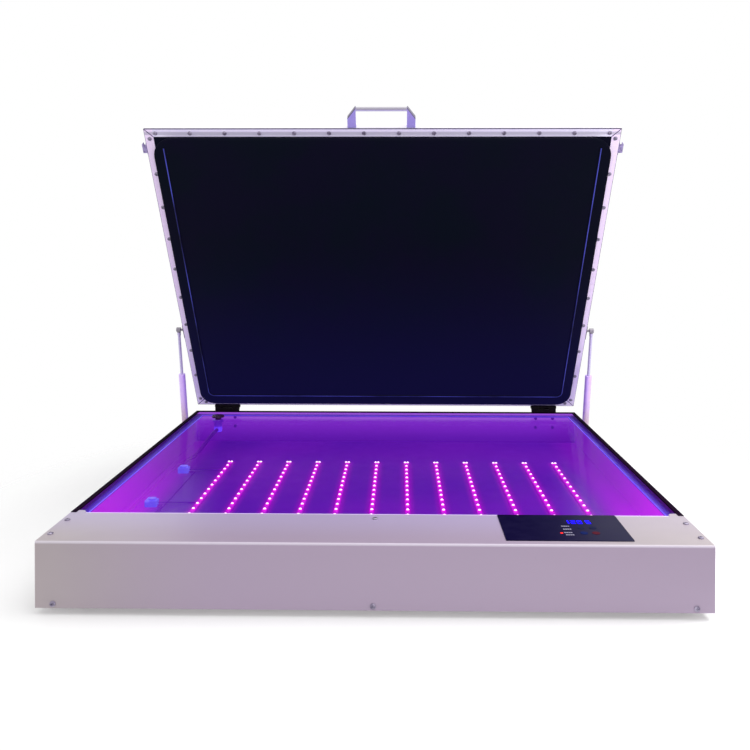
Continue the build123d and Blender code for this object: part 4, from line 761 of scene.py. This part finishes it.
# digits of the display, each a few of seven strokes: a is the top one, b to f follow it
# round to the right, and g is the middle one
display = {
    "digits": ["120", "5"], "starts": (0.3285, 0.3655), "pitch": 0.0112, "width": 0.0086,
    "height": 0.0172, "low": -0.4166, "stroke": 0.0031, "gap": 0.0002, "above": 0.00012,
    "strokes": {"0": "abcdef", "1": "bc", "2": "abged", "5": "afgcd"},
}


def flatQuads(name, quads, height, paint):
    # flat four-cornered shapes lying just above a surface
    points = np.array(quads).reshape(-1, 2)
    points = np.column_stack([points, np.full(len(points), height)])
    return meshPiece(name, points, np.arange(len(points)).reshape(-1, 4), paint, "base")


def rectangle(x0, y0, x1, y1):
    return [(x0, y0), (x1, y0), (x1, y1), (x0, y1)]


def displayDigits(d=display):
    # every stroke is a rectangle of the digit's frame, drawn in a little all round
    w, h, t, gap = d["width"], d["height"], d["stroke"], d["gap"]
    m = h / 2
    frames = {"a": (0, h - t, w, h), "b": (w - t, m, w, h), "c": (w - t, 0, w, m), "d": (0, 0, w, t),
              "e": (0, 0, t, m), "f": (0, m, t, h), "g": (0, m - t / 2, w, m + t / 2)}
    quads = []
    for group, start in zip(d["digits"], d["starts"]):
        for place, digit in enumerate(group):
            x, y = start + place * d["pitch"], d["low"]
            for letter in d["strokes"][digit]:
                x0, y0, x1, y1 = frames[letter]
                quads.append(rectangle(x + x0 + gap, y + y0 + gap, x + x1 - gap, y + y1 - gap))
    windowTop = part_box("display_window")[1][2]
    flatQuads("displayDigits", quads, windowTop + d["above"], digitGlow)


displayDigits()

# rows of plain dashes beside the keys, each row from one x to the next at its y
legend = {
    "rows": [(0.3195, 0.3345, -0.4285), (0.3200, 0.3345, -0.4425), (0.3185, 0.3335, -0.4585),
             (0.3195, 0.3350, -0.4690)],
    "tall": 0.0042, "dash": 0.0030, "gap": 0.0006, "above": 0.0001,
}


def legendRows(g=legend):
    # dashes at even steps, the last one cut off at the row's end
    halfTall = g["tall"] / 2
    quads = []
    for start, end, y in g["rows"]:
        for x in np.arange(start, end - g["dash"] / 2, g["dash"] + g["gap"]):
            quads.append(rectangle(x, y - halfTall, min(x + g["dash"], end), y + halfTall))
    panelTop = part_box("control_panel")[1][2]
    flatQuads("legendRows", quads, panelTop + g["above"], legendInk)


legendRows()
print("panel dressed")

# camera: angles in radians, focal length and picture centre in pixels of a 750 pixel frame
cameraSet = {"place": (0.043, -1.773, 0.599), "yaw": -0.0149, "pitch": 0.0139, "roll": 0.0013,
             "focalPixels": 786.49, "centreX": 388.26, "centreY": 258.43, "photo": 750.0, "sensor": 36.0}


def makeCamera(c=cameraSet):
    # looks along yaw and pitch, then turns its right and up about that line by the roll
    data = bpy.data.cameras.new("camera")
    data.sensor_width = c["sensor"]
    data.lens = c["focalPixels"] / c["photo"] * c["sensor"]
    data.shift_x = (c["photo"] / 2 - c["centreX"]) / c["photo"]
    data.shift_y = (c["centreY"] - c["photo"] / 2) / c["photo"]
    camera = bpy.data.objects.new("camera", data)
    forward = Vector((sin(c["yaw"]) * cos(c["pitch"]), cos(c["yaw"]) * cos(c["pitch"]), -sin(c["pitch"])))
    right = Vector((cos(c["yaw"]), -sin(c["yaw"]), 0.0))
    up = right.cross(forward)
    turnedRight = right * cos(c["roll"]) + up * sin(c["roll"])
    turnedUp = up * cos(c["roll"]) - right * sin(c["roll"])
    camera.matrix_world = Matrix((turnedRight, turnedUp, -forward)).transposed().to_4x4()
    camera.location = c["place"]
    bpy.context.scene.collection.objects.link(camera)
    bpy.context.scene.camera = camera


makeCamera()

floorSet = {"half": 30.0, "fadeFrom": 0.66, "fadeTo": 1.15, "cover": 0.8}


def makeFloor(f=floorSet):
    # pale sheet that takes the shadow and fades into the white around
    half = f["half"]
    mesh = bpy.data.meshes.new("floor")
    corners = [(-half, -half, 0), (half, -half, 0), (half, half, 0), (-half, half, 0)]
    mesh.from_pydata(corners, [], [(0, 1, 2, 3)])
    floor = bpy.data.objects.new("floor", mesh)
    bpy.context.scene.collection.objects.link(floor)
    paint = Paint("floorPaint", roughness=0.9, specularIorLevel=0.0)
    paint.set(baseColor=paint.mix(paint.noise(1.5), tone(250, 250, 250), tone(246, 246, 246)))
    reach = (paint.x * paint.x + paint.y * paint.y) ** 0.5
    paint.set(alpha=(1.0 - reach.rise(f["fadeFrom"], f["fadeTo"])) * f["cover"])
    mesh.materials.append(paint.material)


makeFloor()


def makeWorld(light=0.80):
    # even light on the object, and plain white wherever a ray sees the world itself
    world = bpy.data.worlds.new("studio")
    bpy.context.scene.world = world
    world.use_nodes = True
    tree = world.node_tree
    background = tree.nodes["Background"]
    background.inputs["Color"].default_value = (1, 1, 1, 1)
    rays = tree.nodes.new("ShaderNodeLightPath")
    seen = rays.outputs["Is Camera Ray"]
    for kind in ("Is Glossy Ray", "Is Transmission Ray"):
        either = tree.nodes.new("ShaderNodeMath")
        either.operation = "MAXIMUM"
        tree.links.new(seen, either.inputs[0])
        tree.links.new(rays.outputs[kind], either.inputs[1])
        seen = either.outputs[0]
    strength = tree.nodes.new("ShaderNodeMapRange")
    strength.inputs["To Min"].default_value = light
    strength.inputs["To Max"].default_value = 1.0
    tree.links.new(seen, strength.inputs["Value"])
    tree.links.new(strength.outputs[0], background.inputs["Strength"])


makeWorld()


def areaLamp(name, place, aim, size, power, colour=(1, 1, 1)):
    # a square lamp turned to what it aims at
    data = bpy.data.lights.new(name, "AREA")
    data.size, data.energy, data.color = size, power, colour
    lamp = bpy.data.objects.new(name, data)
    lamp.location = place
    lamp.rotation_euler = (Vector(aim) - Vector(place)).to_track_quat("-Z", "Y").to_euler()
    lamp.visible_glossy = size > 1.0  # a small lamp leaves no bright patch on the glass
    bpy.context.scene.collection.objects.link(lamp)


areaLamp("overhead", (0.8, -0.6, 3.2), (0.0, 0.0, 0.2), 3.0, 56)
areaLamp("rightSide", (1.10, -0.35, 0.75), (0.52, -0.44, 0.12), 0.30, 5.0)
areaLamp("lilacFill", (0.9, -3.0, 0.6), (0.1, -0.5, 0.1), 1.2, 6, (0.92, 0.84, 1.0))

bpy.context.scene.view_settings.view_transform = "Standard"
print("stage set")
